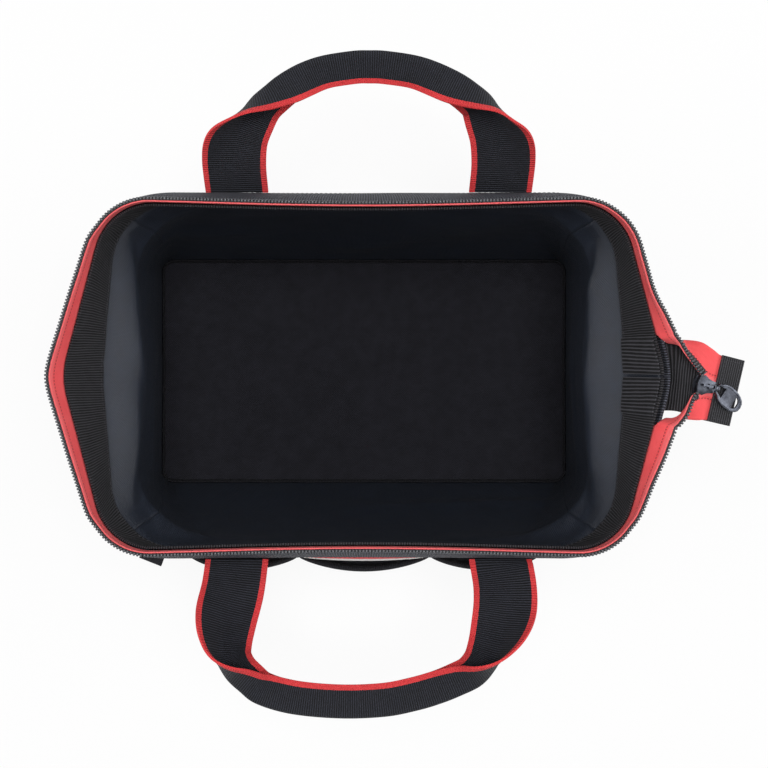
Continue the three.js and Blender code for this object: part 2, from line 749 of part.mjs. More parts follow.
function pullLink() {
  const [x, z] = linkHinge;
  const farZ = pullHinge[1];
  const armEnd = 4.3;
  const slope = [[x, z - linkWire], [x - linkWire, z - 0.15], [x - linkWire, z + 0.15], [x, z + linkWire],
    [armEnd - 0.6, farZ + linkWire], [armEnd + 0.2, farZ + linkWire], [armEnd + 0.2, farZ - linkWire]];
  const arms = upright(slope, 2 * linkHalfWidth + 0.5);
  const [gapStart, gapEnd] = [x + 0.35, armEnd - 0.5];
  const window = upright([[gapStart, z - 2], [gapEnd, z - 2], [gapEnd, farZ + 2], [gapStart, farZ + 2]], 2);
  const eye = upright(circle(eyeOuter, 12, pullHinge), 2);
  const bore = upright(circle(eyeInner, 12, pullHinge), 3);
  return joined([cutBy(arms, [window]), cutBy(eye, [bore])]);
}
addPiece('pull_link', pullLink(), gunmetal, tail);

// Pull tab: a leaf with a raised rim, a bar and window for the link, and an eyelet at its free end

const pullBarHalf = 2.6;
const pullRim = 1.1;
const pullRimRise = 0.3;

function leafHalf(inset) {
  const [middle, half] = [pullLength / 2, pullWidth / 2 - inset];
  const steps = 9;
  const points = [];
  for (let i = 0; i <= steps; i += 1) {
    const angle = (i / steps) * 0.86 * Math.PI;
    points.push([middle + (middle - inset) * Math.cos(angle), half * Math.sin(angle) ** 0.8]);
  }
  return points;
}

function pullTab() {
  const mirrored = (points) => points.slice().reverse().filter(([, y]) => y > 0).map(([x, y]) => [x, -y]);
  const whole = (points) => [...points, ...mirrored(points)];
  const plate = (half, thickness) => slab(whole(half), -thickness / 2, thickness);
  const outer = [...leafHalf(0), [-0.4, 3.1]];
  const inner = [...leafHalf(pullRim), [-1, 2.1]];
  const window = [[5.4, 3.3], [0.6, 2.1], [-1, 2.1]];
  const eyelet = [[-2.9, 1.4], [-4, 3], [-6, 4], [-6.6, 2.2]].map(([x, y]) => [pullLength + x, y]);
  const leaf = cutBy(plate(outer, pullThickness), [plate(window, 4), plate(eyelet, 4)]);
  const rim = cutBy(plate(outer, pullThickness + 2 * pullRimRise), [plate(inner, 4)]);
  return joined([leaf, rim, new THREE.CylinderGeometry(0.45, 0.45, 2 * pullBarHalf, 8)]);
}
const pull = new THREE.Group();
pull.position.set(pullHinge[0], 0, pullHinge[1]);
pull.rotation.set(0, radians(pullTilt), -radians(pullTurn), 'ZYX');
tail.add(pull);
addPiece('pull_tab', pullTab(), gunmetal, pull);

// Handles: one length of webbing each, flat at its feet and folded double along the grip

const hingeHeight = bandFoot - 1.7;
const footTop = hingeHeight - 0.2;
const hingeOut = sewnGap + footThickness + 0.2 + webbingThickness / 2;
const hingeWidth = skinWidth(handleHalfSpacing, hingeHeight, 0, 1) + hingeOut;

// The line of each handle in its own plane, in shares of half its spacing and of its reach
const backHalfLine = [
  [1, 0], [1.006, 0.2], [0.982, 0.39], [0.917, 0.545], [0.851, 0.66], [0.762, 0.745], [0.649, 0.83],
  [0.5, 0.91], [0.333, 0.965], [0.119, 0.996],
];
const backLine = [...backHalfLine.map(([x, y]) => [-x, y]), [0, 1], ...backHalfLine.slice().reverse()];
const frontLine = [
  [-1, 0], [-1.024, 0.149], [-1.024, 0.287], [-1, 0.425], [-0.958, 0.574], [-0.905, 0.697], [-0.81, 0.798],
  [-0.667, 0.862], [-0.518, 0.912], [-0.357, 0.952], [-0.12, 0.99], [0.214, 1], [0.57, 0.973], [0.82, 0.91],
  [0.94, 0.83], [1.024, 0.745], [1.07, 0.64], [1.083, 0.53], [1.07, 0.39], [1.024, 0.2], [1, 0],
];

function handlePath(line, reach, steps) {
  const points = line.map(([x, y]) => new THREE.Vector2(x * handleHalfSpacing, y * reach));
  return new THREE.SplineCurve(points).getSpacedPoints(steps);
}

function smoothStep(value, from, to) {
  const share = Math.min(Math.max((value - from) / (to - from), 0), 1);
  return share * share * (3 - 2 * share);
}

function handleWeb(line, reach) {
  const path = handlePath(line, reach, 26);
  const distance = [0];
  for (let i = 1; i < path.length; i += 1) distance.push(distance[i - 1] + path[i].distanceTo(path[i - 1]));
  const total = distance[distance.length - 1];
  const bend = (Math.PI * gripBendRadius) / 2;
  const half = handleWidth / 2;
  const places = [-half, -bend, -bend / 3, bend / 3, bend, half];
  const grid = path.map((point, i) => {
    const fromFoot = Math.min(distance[i], total - distance[i]);
    const fold = Math.max(Math.PI * smoothStep(fromFoot, gripFoldStart, gripFoldEnd), 0.001);
    const before = path[Math.max(i - 1, 0)];
    const after = path[Math.min(i + 1, path.length - 1)];
    const along = after.clone().sub(before).normalize();
    if (before === point) along.set(0, 1);
    if (after === point) along.set(0, -1);
    const out = new THREE.Vector2(-along.y, along.x);
    const radius = (2 * bend) / fold;
    return places.map((w) => {
      const angle = fold * Math.min(Math.max((w + bend) / (2 * bend), 0), 1);
      const inner = Math.min(w + bend, 0);
      const outer = Math.max(w - bend, 0);
      const across = inner - bend + radius * Math.sin(angle) + outer * Math.cos(fold);
      const lift = radius * (1 - Math.cos(angle)) + outer * Math.sin(fold);
      return new THREE.Vector3(point.x + out.x * across, point.y + out.y * across, lift);
    });
  });
  return thickened(grid, webbingThickness);
}

function addHandle(name, side, angle, line, reach) {
  const turn = new THREE.Group();
  turn.position.set(handleCentre, side * hingeWidth, hingeHeight);
  turn.rotation.set(radians(angle), 0, side > 0 ? 0 : Math.PI, 'ZYX');
  bag.add(turn);
  addPiece(name, handleWeb(line, reach), webbing, turn);
}
addHandle('back_handle', 1, backHandleAngle, backLine, backHandleReach);
addHandle('front_handle', -1, frontHandleAngle, frontLine, frontHandleReach);

// Feet: the lengths of handle webbing sewn flat on the walls below the band

function steppedHeights(bottom, top) {
  const main = [bottom, ...levels.filter((z) => z > bottom + 4 && z < top - 4), top];
  const steps = main.slice(1).map((z, i) => (z - main[i] > 20 ? [(z + main[i]) / 2, z] : [z]));
  return [bottom, ...steps.flat()];
}

function flatOnWall(x, width, side, bottom, top, thickness) {
  const columns = 5;
  const places = [...Array(columns + 1).keys()].map((i) => x + (i / columns - 0.5) * width);
  const heights = steppedHeights(bottom, top);
  const grid = (depth) => places.map((px) => heights.map((z) => new THREE.Vector3(
    px, side * (skinWidth(px, z, 0, side) + depth), z,
  )));
  return sheet(grid(sewnGap + thickness), grid(sewnGap));
}
const footBottoms = [['front', -1, footTop - frontFootLength], ['back', 1, wallFoot + 2 * pipingRadius + 1]];
for (const [side, sign, bottom] of footBottoms) {
  for (const [end, way] of [['left', -1], ['right', 1]]) {
    const x = handleCentre + way * handleHalfSpacing;
    const foot = flatOnWall(x, handleWidth, sign, bottom, footTop, footThickness);
    addPiece(`${side}_${end}_foot`, foot, webbing);
  }
}

// Front pocket: one panel sewn down between its three bays, with a binding over its top edge

const pocketSeams = [-pocketHalfLength, -pocketSeam, pocketSeam, pocketHalfLength];
const baySteps = 8;

function pocketPlaces() {
  const places = [];
  for (let bay = 0; bay < 3; bay += 1) {
    const [from, to] = [pocketSeams[bay], pocketSeams[bay + 1]];
    for (let i = bay === 0 ? 0 : 1; i <= baySteps; i += 1) {
      const share = i / baySteps;
      places.push({ x: from + (to - from) * share, lift: Math.sin(Math.PI * share) ** 0.7 });
    }
  }
  return places;
}

function pocketGap({ lift }, z) {
  const height = Math.min((z - pocketBottom) / (pocketTop - pocketBottom), 1);
  const nearTop = z > pocketTop - pocketBindingHeight - 4;
  const sewn = sewnGap + (nearTop ? pocketBindingThickness + clearance : 0);
  return sewn + pocketBulge * lift * Math.sin((Math.PI / 2) * height) ** 0.8;
}

function pocketPoint(place, z, depth) {
  const width = skinWidth(place.x, z, 0, -1) + pocketGap(place, z) + depth;
  return new THREE.Vector3(place.x, -width, z);
}

const bindingFoot = pocketTop - pocketBindingHeight;
const pocketHeights = [...steppedHeights(pocketBottom, bindingFoot - 6), bindingFoot, pocketTop];

function frontPocket() {
  const column = (place, depth) => pocketHeights.map((z) => pocketPoint(place, z, depth));
  const grid = (depth) => pocketPlaces().map((place) => column(place, depth));
  return sheet(grid(pocketThickness), grid(0));
}
addPiece('front_pocket', frontPocket(), wallCloth);

function pocketBinding() {
  const inside = -clearance - pocketBindingThickness / 2;
  const outside = pocketThickness + clearance + pocketBindingThickness / 2;
  const profile = [[inside, bindingFoot + 0.5], [inside, pocketTop], [pocketThickness / 2, pocketTop + 1.1],
    [outside, pocketTop], [outside, bindingFoot + 0.5]];
  const point = (place, [depth, z]) => pocketPoint(place, Math.min(z, pocketTop), depth).setZ(z);
  const grid = pocketPlaces().map((place) => profile.map((p) => point(place, p)));
  return thickened(grid, pocketBindingThickness);
}
addPiece('front_pocket_binding', pocketBinding(), webbing);

// Patch: a blank rectangle sewn on the front wall above the pocket
const patchTop = bandFoot - 2;
const patch = flatOnWall(0, patchWidth, -1, patchTop - patchHeight, patchTop, patchThickness);
addPiece('front_patch', patch, patchCloth);

// Corner tab: a short folded length of narrow webbing that stands out below the band
function cornerTab() {
  const k = 2 * quarterCount + cornerMiddle + 1;
  const z = bandFoot - 5;
  const root = skinPoint(k, z, clearance);
  const out = skinPoint(k, z, 1).sub(skinPoint(k, z, 0)).normalize();
  const sideways = new THREE.Vector3(-out.y, out.x, 0);
  const bend = tabThickness / 2 + 0.35;
  const middle = tabLength - bend;
  const turn = [-90, -45, 0, 45, 90].map((degrees) => degrees * Math.PI / 180);
  const fold = turn.map((angle) => [middle + bend * Math.cos(angle), bend * Math.sin(angle)]);
  const profile = [[0.4, -bend], ...fold, [0.4, bend]];
  const rows = [-0.5, 0.5].map((share) => profile.map(([reach, lift]) => root.clone()
    .addScaledVector(out, reach)
    .addScaledVector(sideways, share * tabWidth)
    .add(new THREE.Vector3(0, 0, lift - 0.25 * reach))));
  return thickened(rows, tabThickness);
}
addPiece('front_left_tab', cornerTab(), webbing);

export default bag;
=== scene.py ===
# %% [markdown]
# # A zippered tool bag, seen from straight above
#
# The bag stands open. Its walls are padded cloth, so they bow and crease. A ribbed webbing band
# binds the mouth, and one zip runs round all of it to a short tail at the right end. The handles
# are webbing with red edges, folded double where a hand holds them.
#
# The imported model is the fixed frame. Every soft solid of it is replaced by a finer cloth piece
# that lies in the same place, and the metal of the zip keeps its shape. Lengths are in millimetres
# where nothing else is said.

# %% Frame and tools
from bisect import bisect_right
from functools import lru_cache
from math import acos, copysign, cos, exp, hypot, inf, pi, radians, sin, sqrt, tan, tau

import bmesh
import bpy
from mathutils import Matrix, Vector, noise


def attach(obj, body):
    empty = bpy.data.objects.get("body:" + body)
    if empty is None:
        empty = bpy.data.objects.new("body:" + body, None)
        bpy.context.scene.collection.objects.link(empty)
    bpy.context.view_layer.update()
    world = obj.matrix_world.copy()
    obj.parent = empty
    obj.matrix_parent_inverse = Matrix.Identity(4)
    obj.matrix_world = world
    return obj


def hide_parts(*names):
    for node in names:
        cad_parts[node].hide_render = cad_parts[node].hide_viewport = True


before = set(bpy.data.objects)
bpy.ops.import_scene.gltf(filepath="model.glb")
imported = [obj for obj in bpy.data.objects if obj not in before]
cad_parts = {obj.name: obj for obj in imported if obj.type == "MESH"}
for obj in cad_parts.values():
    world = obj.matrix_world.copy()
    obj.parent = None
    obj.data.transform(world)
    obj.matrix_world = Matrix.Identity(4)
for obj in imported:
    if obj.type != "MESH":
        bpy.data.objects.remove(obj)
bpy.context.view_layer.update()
MM = 0.001
WHITE = (1, 1, 1, 1)


def in_scene(name, data, place=(0, 0, 0)):
    """A new object in the scene, at a place in metres."""
    made = bpy.data.objects.new(name, data)
    made.location = place
    bpy.context.scene.collection.objects.link(made)
    return made


def mesh_of(name, shape):
    """A mesh made from a bmesh, which is freed."""
    mesh = bpy.data.meshes.new(name)
    shape.to_mesh(mesh)
    shape.free()
    return mesh


# %% [markdown]
# ## Camera
#
# The photograph looks straight down from a little under a metre. The point right below the lens is
# not in the middle of the picture, so the lens is shifted a little instead of the camera tilted.
# That keeps the bag's upright edges pointing away from that one point, as they do in the
# photograph.

# %% Camera
PICTURE, FOCAL_LENGTH = 768, 1150  # in pixels of the photograph
SENSOR = 36
camera_lens = bpy.data.cameras.new("Camera")
camera_lens.sensor_width = SENSOR
camera_lens.lens = SENSOR * FOCAL_LENGTH / PICTURE
camera_lens.shift_x, camera_lens.shift_y = 20 / PICTURE, -30 / PICTURE
bpy.context.scene.camera = in_scene("Camera", camera_lens, (0, 0.0135, 0.918))
print("lens", round(camera_lens.lens, 1), "mm")

# %% [markdown]
# ## Shader maths
#
# A woven pattern is a sum of waves, so it reads best as a formula. The first class below wraps a
# node's output, and its operators add the Math nodes. Each has its reflected form, so a number may
# come first, as in 1 - mask. Any other node comes from one method, which takes the node's type,
# its settings and its inputs.

# %% Shader maths
class Signal:
    """A node's output that can be used in a formula like a number."""

    def __init__(self, nodes, socket):
        self.nodes, self.socket = nodes, socket

    def _math(self, operation, *values):
        return self.nodes.add("ShaderNodeMath", {"operation": operation}, dict(enumerate(values)))

    def __add__(self, other): return self._math("ADD", self, other)
    def __radd__(self, other): return self._math("ADD", other, self)
    def __sub__(self, other): return self._math("SUBTRACT", self, other)
    def __rsub__(self, other): return self._math("SUBTRACT", other, self)
    def __mul__(self, other): return self._math("MULTIPLY", self, other)
    def __rmul__(self, other): return self._math("MULTIPLY", other, self)
    def __truediv__(self, other): return self._math("DIVIDE", self, other)
    def __rtruediv__(self, other): return self._math("DIVIDE", other, self)
    def __gt__(self, other): return self._math("GREATER_THAN", self, other)
    def __lt__(self, other): return self._math("LESS_THAN", self, other)
    def __abs__(self): return self._math("ABSOLUTE", self)
    def wave(self, length): return self._math("SINE", self * (tau / length))
    def whole(self): return self._math("FLOOR", self)
    def limited(self): return self.nodes.add("ShaderNodeClamp", {}, {0: self})


class Nodes:
    """A tree of shader nodes, with short ways to add to it."""

    def __init__(self, tree):
        self.tree = tree

    def add(self, kind, settings=None, inputs=None, output=0):
        made = self.tree.nodes.new(kind)
        for key, value in (settings or {}).items():
            setattr(made, key, value)
        for key, value in (inputs or {}).items():
            self.feed(made.inputs[key], value)
        return Signal(self, made.outputs[output])

    def feed(self, socket, value):
        if isinstance(value, Signal):
            self.tree.links.new(value.socket, socket)
        else:
            socket.default_value = value

    def looked_at(self):
        """1 for a ray from the camera, also by way of a shiny or clear surface, and else 0."""
        camera, glossy, clear = (
            self.add("ShaderNodeLightPath", output=f"Is {kind} Ray")
            for kind in ("Camera", "Glossy", "Transmission")
        )
        return (camera + glossy + clear).limited()


class Paint(Nodes):
    """A material and the nodes that make its finish."""

    def __init__(self, name, **sockets):
        self.material = bpy.data.materials.new(name)
        self.material.use_nodes = True
        super().__init__(self.material.node_tree)
        self.shader = self.tree.nodes["Principled BSDF"]
        for socket, value in sockets.items():
            label = socket.replace("_", " ").title().replace("Ior", "IOR")
            self.shader.inputs[label].default_value = value

    def cloth(self):
        """Millimetres along and across the piece's own cloth."""
        place = self.add("ShaderNodeUVMap", {"uv_map": "Cloth"})
        return [self.add("ShaderNodeSeparateXYZ", {}, {0: place}, axis) * 1000 for axis in (0, 1)]

    def cloud(self, size, detail=2.0):
        """Soft noise between 0 and 1, with blotches of the given size in metres."""
        place = self.add("ShaderNodeTexCoord", output="Object")
        settings = {"Vector": place, "Scale": 1 / size, "Detail": detail}
        return self.add("ShaderNodeTexNoise", {}, settings)

    def between(self, share, first, second):
        """The colour that lies a share of the way from the first to the second."""
        return self.add("ShaderNodeMix", {"data_type": "RGBA"}, {0: share, 6: first, 7: second}, 2)

    def finish(self, colour, roughness, height, depth):
        """Colour and roughness, and a bump whose height is in parts of depth metres."""
        settings = {"Height": height, "Distance": depth, "Strength": 1.0}
        bump = self.add("ShaderNodeBump", {}, settings)
        for socket, value in (("Base Color", colour), ("Roughness", roughness), ("Normal", bump)):
            self.feed(self.shader.inputs[socket], value)
        return self.material


def rgb(red, green, blue):
    """A screen colour of 0 to 255 as the linear colour that a shader takes."""
    def linear(value):
        value /= 255
        return value / 12.92 if value <= 0.04045 else ((value + 0.055) / 1.055) ** 2.4
    return (linear(red), linear(green), linear(blue), 1)


print("the red of the tape is", [round(c, 2) for c in rgb(250, 80, 85)[:3]])

# %% [markdown]
# ## Woven finishes
#
# Three weaves cover the whole bag. Walls and lining are plain weave: each thread passes over one
# and under the next, a checkerboard of small bumps. Webbing is woven with thick cross threads, so
# ribs run from edge to edge, and on the handles a red stripe is woven along both edges. The zip's
# tape is a fine herringbone with a row of dark stitches beside the coil. All of them read the
# piece's own cloth coordinates in millimetres, so the threads follow each fold at their true size.

# %% Plain weave
def plain_weave(name, dark, light, thread, roughness, sheen, shine):
    paint = Paint(name, sheen_weight=sheen, sheen_roughness=0.5, specular_ior_level=shine)
    along, across = paint.cloth()
    over = along.wave(2 * thread) * across.wave(2 * thread)
    ribs = 0.2 * along.wave(thread) + 0.2 * across.wave(thread)
    faded = paint.cloud(0.008, 4)
    share = (0.22 * over + 0.5 * faded + 0.21 * paint.cloud(0.03)).limited()
    colour = paint.between(share, dark, light)
    return paint.finish(colour, roughness - 0.06 + 0.12 * faded, 0.5 * over + ribs, 0.00022)


WALL_CLOTH = plain_weave("wall_cloth", rgb(16, 16, 20), rgb(58, 60, 70), 1.2, 0.85, 0.05, 0.25)
LINING_CLOTH = plain_weave("lining_cloth", rgb(15, 20, 29), rgb(36, 46, 63), 0.8, 0.46, 0.02, 0.6)
FLOOR_CLOTH = plain_weave("floor_cloth", rgb(18, 18, 22), rgb(52, 52, 60), 0.9, 0.9, 0.02, 0.2)


# %% Ribbed webbing
def ribbed(name, dark, light, pitch, width=0.0, edge=0.0):
    """Webbing with a rib at every pitch, and a red border as wide as edge."""
    paint = Paint(name, sheen_weight=0.03, sheen_roughness=0.45, specular_ior_level=0.18)
    along, across = paint.cloth()
    rib = (along + paint.cloud(0.012) * 0.5).wave(pitch) * 0.5 + 0.5
    strands = (across + (along / pitch).whole() * 0.45).wave(0.9) * 0.5 + 0.5
    worn = paint.cloud(0.006, 5)
    # the rib crests are painted lighter than the grooves, a painted highlight along each rib; the
    # worn noise is the webbing's own uneven tone
    share = (rib * rib * (strands * 0.35 + 0.5) + worn * 0.3 - 0.12).limited()
    colour = paint.between(share, dark, light)
    if edge:
        border = abs(across - width / 2) > width / 2 - edge
        loops = along.wave(pitch * 0.5) * 0.5 + 0.5
        redness = (loops * 0.6 + worn * 0.4).limited()
        red = paint.between(redness, rgb(168, 24, 32), rgb(248, 82, 84))
        colour = paint.between(border, colour, red)
    return paint.finish(colour, worn * 0.2 + 0.6, rib * 0.8 + strands * 0.3, 0.0004)


HANDLE_WIDTH = 40
BAND_WEBBING = ribbed("band_webbing", rgb(8, 8, 9), rgb(78, 78, 83), 1.55)
# the same webbing as the inner band, painted paler as painted light on the band's outer face
LIT_OUTER_BAND_WEBBING = ribbed("outer_band_webbing_painted_light", rgb(24, 25, 30), rgb(104, 107, 120), 1.55)
HANDLE_WEBBING = ribbed("handle_webbing", rgb(5, 5, 7), rgb(58, 60, 70), 1.4, HANDLE_WIDTH, 3.6)
HEM_WEBBING = ribbed("hem_webbing", rgb(6, 6, 7), rgb(88, 88, 94), 2.3)
NARROW_WEBBING = ribbed("narrow_webbing", rgb(15, 15, 18), rgb(46, 46, 52), 1.2)


# %% Zip tape, teeth, thread and metal
def zip_tape_finish():
    """Red herringbone, with its stitches and a paler edge, measured from the sewn edge."""
    stitches_from, stitches_to, paler_from = 12.6, 13.5, 14.4
    paint = Paint("red_tape", sheen_weight=0.1, sheen_roughness=0.5)
    along, across = paint.cloth()
    zigzag = abs((across / 2.4 - (across / 2.4).whole()) - 0.5) * 3
    twill = (along + zigzag).wave(0.9) * 0.5 + 0.5
    blotch = paint.cloud(0.01, 3)
    share = (twill * 0.35 + blotch * 0.5).limited()
    red = paint.between(share, rgb(240, 58, 64), rgb(255, 108, 110))
    stitch = (across > stitches_from) * (across < stitches_to) * (along.wave(2.0) > -0.35)
    colour = paint.between(stitch * 0.55, red, rgb(110, 18, 22))
    colour = paint.between((across > paler_from) * 0.3, colour, rgb(255, 140, 142))
    return paint.finish(colour, blotch * 0.15 + 0.7, twill * 0.6 - stitch, 0.00016)


def worn_metal(name, base, light, roughness):
    paint = Paint(name, metallic=0.85)
    grain, scuff = paint.cloud(0.0006, 3), paint.cloud(0.003, 4)
    colour = paint.between((scuff * 1.4 - 0.4).limited(), base, light)
    return paint.finish(colour, scuff * 0.2 + roughness, grain, 0.00002)


def plain_finish(name, dark, light, roughness, size, depth=0.00005):
    paint = Paint(name)
    grain = paint.cloud(size, 4)
    return paint.finish(paint.between(grain, dark, light), grain * 0.15 + roughness, grain, depth)


RED_TAPE = zip_tape_finish()
GUNMETAL = worn_metal("gunmetal", rgb(48, 50, 57), rgb(104, 108, 118), 0.28)
COIL = plain_finish("coil", rgb(26, 27, 30), rgb(74, 76, 83), 0.18, 0.003, 0.00002)
# the heads are the same nylon as the strands; their paler colour is a painted glint
COIL_HEADS_PAINTED_GLINT = plain_finish("coil_heads_painted_glint", rgb(34, 35, 39), rgb(88, 90, 96), 0.14, 0.002, 0.00002)
# a real cord, but painted near black, darker than the coil: partly painted shade between the turns
COIL_CORE_WITH_PAINTED_SHADE = plain_finish("coil_core_painted_shade", rgb(8, 8, 9), rgb(18, 18, 20), 0.6, 0.001, 0.0001)
DARK_THREAD = plain_finish("dark_thread", rgb(26, 26, 30), rgb(62, 62, 68), 0.6, 0.0008)
FOAM = plain_finish("padding_foam", rgb(84, 85, 90), rgb(110, 112, 118), 0.85, 0.0012, 0.0002)
BOARD = plain_finish("base_board", rgb(36, 36, 38), rgb(52, 52, 55), 0.5, 0.004)
print("materials:", len(bpy.data.materials))


# %% Blank patch
PATCH_WIDTH, PATCH_HEIGHT, PATCH_BORDER = 88, 30, 2.2


def patch_finish():
    paint = Paint("patch", sheen_weight=0.1)
    along, across = paint.cloth()
    satin = (along + across * 0.5).wave(0.6) * 0.5 + 0.5
    past_end = abs(along - PATCH_WIDTH / 2) > PATCH_WIDTH / 2 - PATCH_BORDER
    past_side = abs(across - PATCH_HEIGHT / 2) > PATCH_HEIGHT / 2 - PATCH_BORDER
    border = (past_end + past_side).limited()
    white = paint.between(paint.cloud(0.004, 4) * 0.5, rgb(240, 238, 233), rgb(252, 251, 248))
    colour = paint.between(border, white, paint.between(satin, rgb(198, 38, 44), rgb(240, 74, 78)))
    return paint.finish(colour, satin * 0.1 + 0.55, satin + border, 0.00015)


PATCH = patch_finish()

# %% [markdown]
# ## The bag's outline
#
# From above, the mouth is a long hexagon: straight sides, and ends that come to a point where the
# zip folds. Below the mouth the sides belly out and the ends sink in to a crease, and the base is
# a plain rectangle with small corners. One function gives a point of the skin for a place round
# the outline, a height and a distance outward, and every cloth piece is laid on it. The place
# counts ten steps to each quarter: 0 is the right end, 10 the back, 20 the left end and 30 the
# front.

# %% Outline
BELLY, RIM = 150.0, 222.0
# at each height: the tip's x, the corner's x and y, the corner's radius, and the sides' bow
BASE_SECTION = (165, 165, 91, 12, 0)
BELLY_SECTION = (155.5, 162, 115.5, 56, 2.2)
RIM_SECTION = (186, 156.5, 107, 38, -3)
TIP_RUN = 14.0  # how far the rounded tip runs along the slanted end


def mix(start, end, share):
    return start + (end - start) * share


def clamped(value):
    return min(max(value, 0), 1)


def eased(value, start, end):
    """0 before start and 1 after end, with a soft step between them."""
    share = clamped((value - start) / (end - start))
    return share * share * (3 - 2 * share)


def bent(start, middle, end, share):
    """A point of the bend that leaves start for middle and comes to end."""
    return start * (1 - share) ** 2 + middle * 2 * share * (1 - share) + end * share ** 2


@lru_cache(maxsize=None)
def section(z):
    """The outline's five numbers at a height."""
    low, high = clamped(z / BELLY), clamped((z - BELLY) / (RIM - BELLY))
    ease, late = sin(pi / 2 * low), high ** 2.5
    rises, closes = (ease, ease, ease, low, low), (high, late, late, high, high)
    columns = zip(BASE_SECTION, BELLY_SECTION, RIM_SECTION, rises, closes)
    return [mix(mix(base, belly, rise), rim, close) for base, belly, rim, rise, close in columns]


def quarter_point(z, step):
    """A point of the first quarter, from 0 at the right end to 10 at the middle of the back."""
    tip, corner_x, corner_y, radius, bow = section(z)
    side = Vector((corner_x - tip, corner_y)).normalized()
    turn = acos(-side.x)
    tangent = radius * tan(turn / 2)
    tip_side = Vector((tip, 0)) + side * TIP_RUN
    arc_end = Vector((corner_x - tangent, corner_y))
    if step < 1:  # the rounded tip
        tip_start = Vector((tip_side.x, -tip_side.y))
        point = bent(tip_start, Vector((tip, 0)), tip_side, 0.5 + step / 2)
    elif step < 3:  # the slanted end
        point = tip_side.lerp(Vector((corner_x, corner_y)) - side * tangent, (step - 1) / 2)
    elif step < 7:  # the corner
        angle = pi / 2 - turn * (1 - (step - 3) / 4)
        point = arc_end - Vector((0, radius)) + Vector((cos(angle), sin(angle))) * radius
    else:  # the long side
        point = Vector((arc_end.x * (10 - step) / 3, arc_end.y))
    if point.y > TIP_RUN:
        point.y += bow * max(1 - (point.x / corner_x) ** 2, 0) ** 2
    return point


def outline(z, place):
    quarter, step = divmod(place % 40, 10)
    quarter = int(quarter) % 4
    x, y = quarter_point(z, step if quarter % 2 == 0 else 10 - step)
    return Vector((x if quarter in (0, 3) else -x, y if quarter < 2 else -y))


def outward(z, place):
    ahead = outline(z, place + 0.02) - outline(z, place - 0.02)
    return Vector((ahead.y, -ahead.x, 0)).normalized()


def skin(place, z, distance=0.0):
    """A point of the bag's skin, or a distance outside it."""
    return Vector((*outline(z, place), z)) + outward(z, place) * distance


def long_side(x, z, side, distance=0.0):
    """The skin of the back (side 1) or front (side -1) at a place along the bag."""
    low, high = 2.0, 10.0
    for _ in range(24):
        middle = (low + high) / 2
        low, high = (middle, high) if quarter_point(z, middle).x > abs(x) else (low, middle)
    point = quarter_point(z, (low + high) / 2)
    return Vector((x, side * (point.y + distance), z))


print("mouth corner at", [round(c) for c in skin(5, RIM)])

# %% [markdown]
# ## Laying a grid of cloth
#
# Every cloth piece starts as a flat bmesh grid. Each of its points has a share along and a share
# across, and a function of the piece says where that point lies on the bag. The helper also
# measures the cloth, and writes its millimetres as UV coordinates for the weaves. A Solidify
# modifier then gives the cloth its thickness, which keeps the grid itself simple.

# %% Cloth helpers
def running_length(points):
    """The length along a chain of points, at each point."""
    run = [0.0]
    for before, after in zip(points, points[1:]):
        run.append(run[-1] + (after - before).length)
    return run


def place_at(run, length):
    """The point before a length along a chain, and the share of the way to the next point."""
    index = min(bisect_right(run, length), len(run) - 1) - 1
    return index, (length - run[index]) / max(run[index + 1] - run[index], 1e-6)


def along_curve(points, position):
    """A point of a smooth curve through the points, at a position counted in points."""
    last = len(points) - 1
    index = min(int(position), last - 1)
    share = position - index
    p0, p1 = points[max(index - 1, 0)], points[index]
    p2, p3 = points[index + 1], points[min(index + 2, last)]
    squared, cubed = share ** 2, share ** 3
    return 0.5 * (2 * p1 + (p2 - p0) * share + (2 * p0 - 5 * p1 + 4 * p2 - p3) * squared
                  + (3 * p1 - p0 - 3 * p2 + p3) * cubed)


def laid_grid(columns, rows, lay, *more, loop=False):
    """A bmesh grid laid by lay(along, across, *more), which takes two shares of 0 to 1."""
    grid = bmesh.new()
    bmesh.ops.create_grid(grid, x_segments=columns, y_segments=rows, size=0.5)
    shares = {point: (point.co.x + 0.5, point.co.y + 0.5) for point in grid.verts}
    run_along = running_length([lay(i / columns, 0.5, *more) for i in range(columns + 1)])
    run_across = running_length([lay(0.5, i / rows, *more) for i in range(rows + 1)])
    cloth = grid.loops.layers.uv.new("Cloth")
    for face in grid.faces:
        for corner in face.loops:
            along, across = shares[corner.vert]
            u, v = run_along[round(along * columns)], run_across[round(across * rows)]
            corner[cloth].uv = (u * MM, v * MM)
    for point, (along, across) in shares.items():
        point.co = lay(along, across, *more) * MM
    if loop:
        bmesh.ops.remove_doubles(grid, verts=grid.verts, dist=1e-6)
    return grid


def add_piece(name, shape, finish, nodes=(), thickness=0.0, offset=0.0, rounded=0.0,
              body="bag_body", sharp=40):
    """A bmesh as a piece that rides on its body and stands for some solids. Cloth gets its
    thickness on both sides of the grid, or inside it if the offset is -1."""
    mesh = mesh_of(name, shape)
    mesh.shade_smooth()
    mesh.materials.append(finish)
    piece = in_scene(name, mesh)
    if thickness:
        wall = piece.modifiers.new("Thickness", "SOLIDIFY")
        wall.thickness, wall.offset, wall.use_even_offset = thickness * MM, offset, True
    if rounded:
        edge = piece.modifiers.new("Rounded edge", "BEVEL")
        edge.width, edge.segments, edge.limit_method = rounded * MM, 2, "ANGLE"
        edge.angle_limit, edge.harden_normals = radians(sharp), True
    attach(piece, body)
    if nodes:
        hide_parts(*nodes)
    return piece


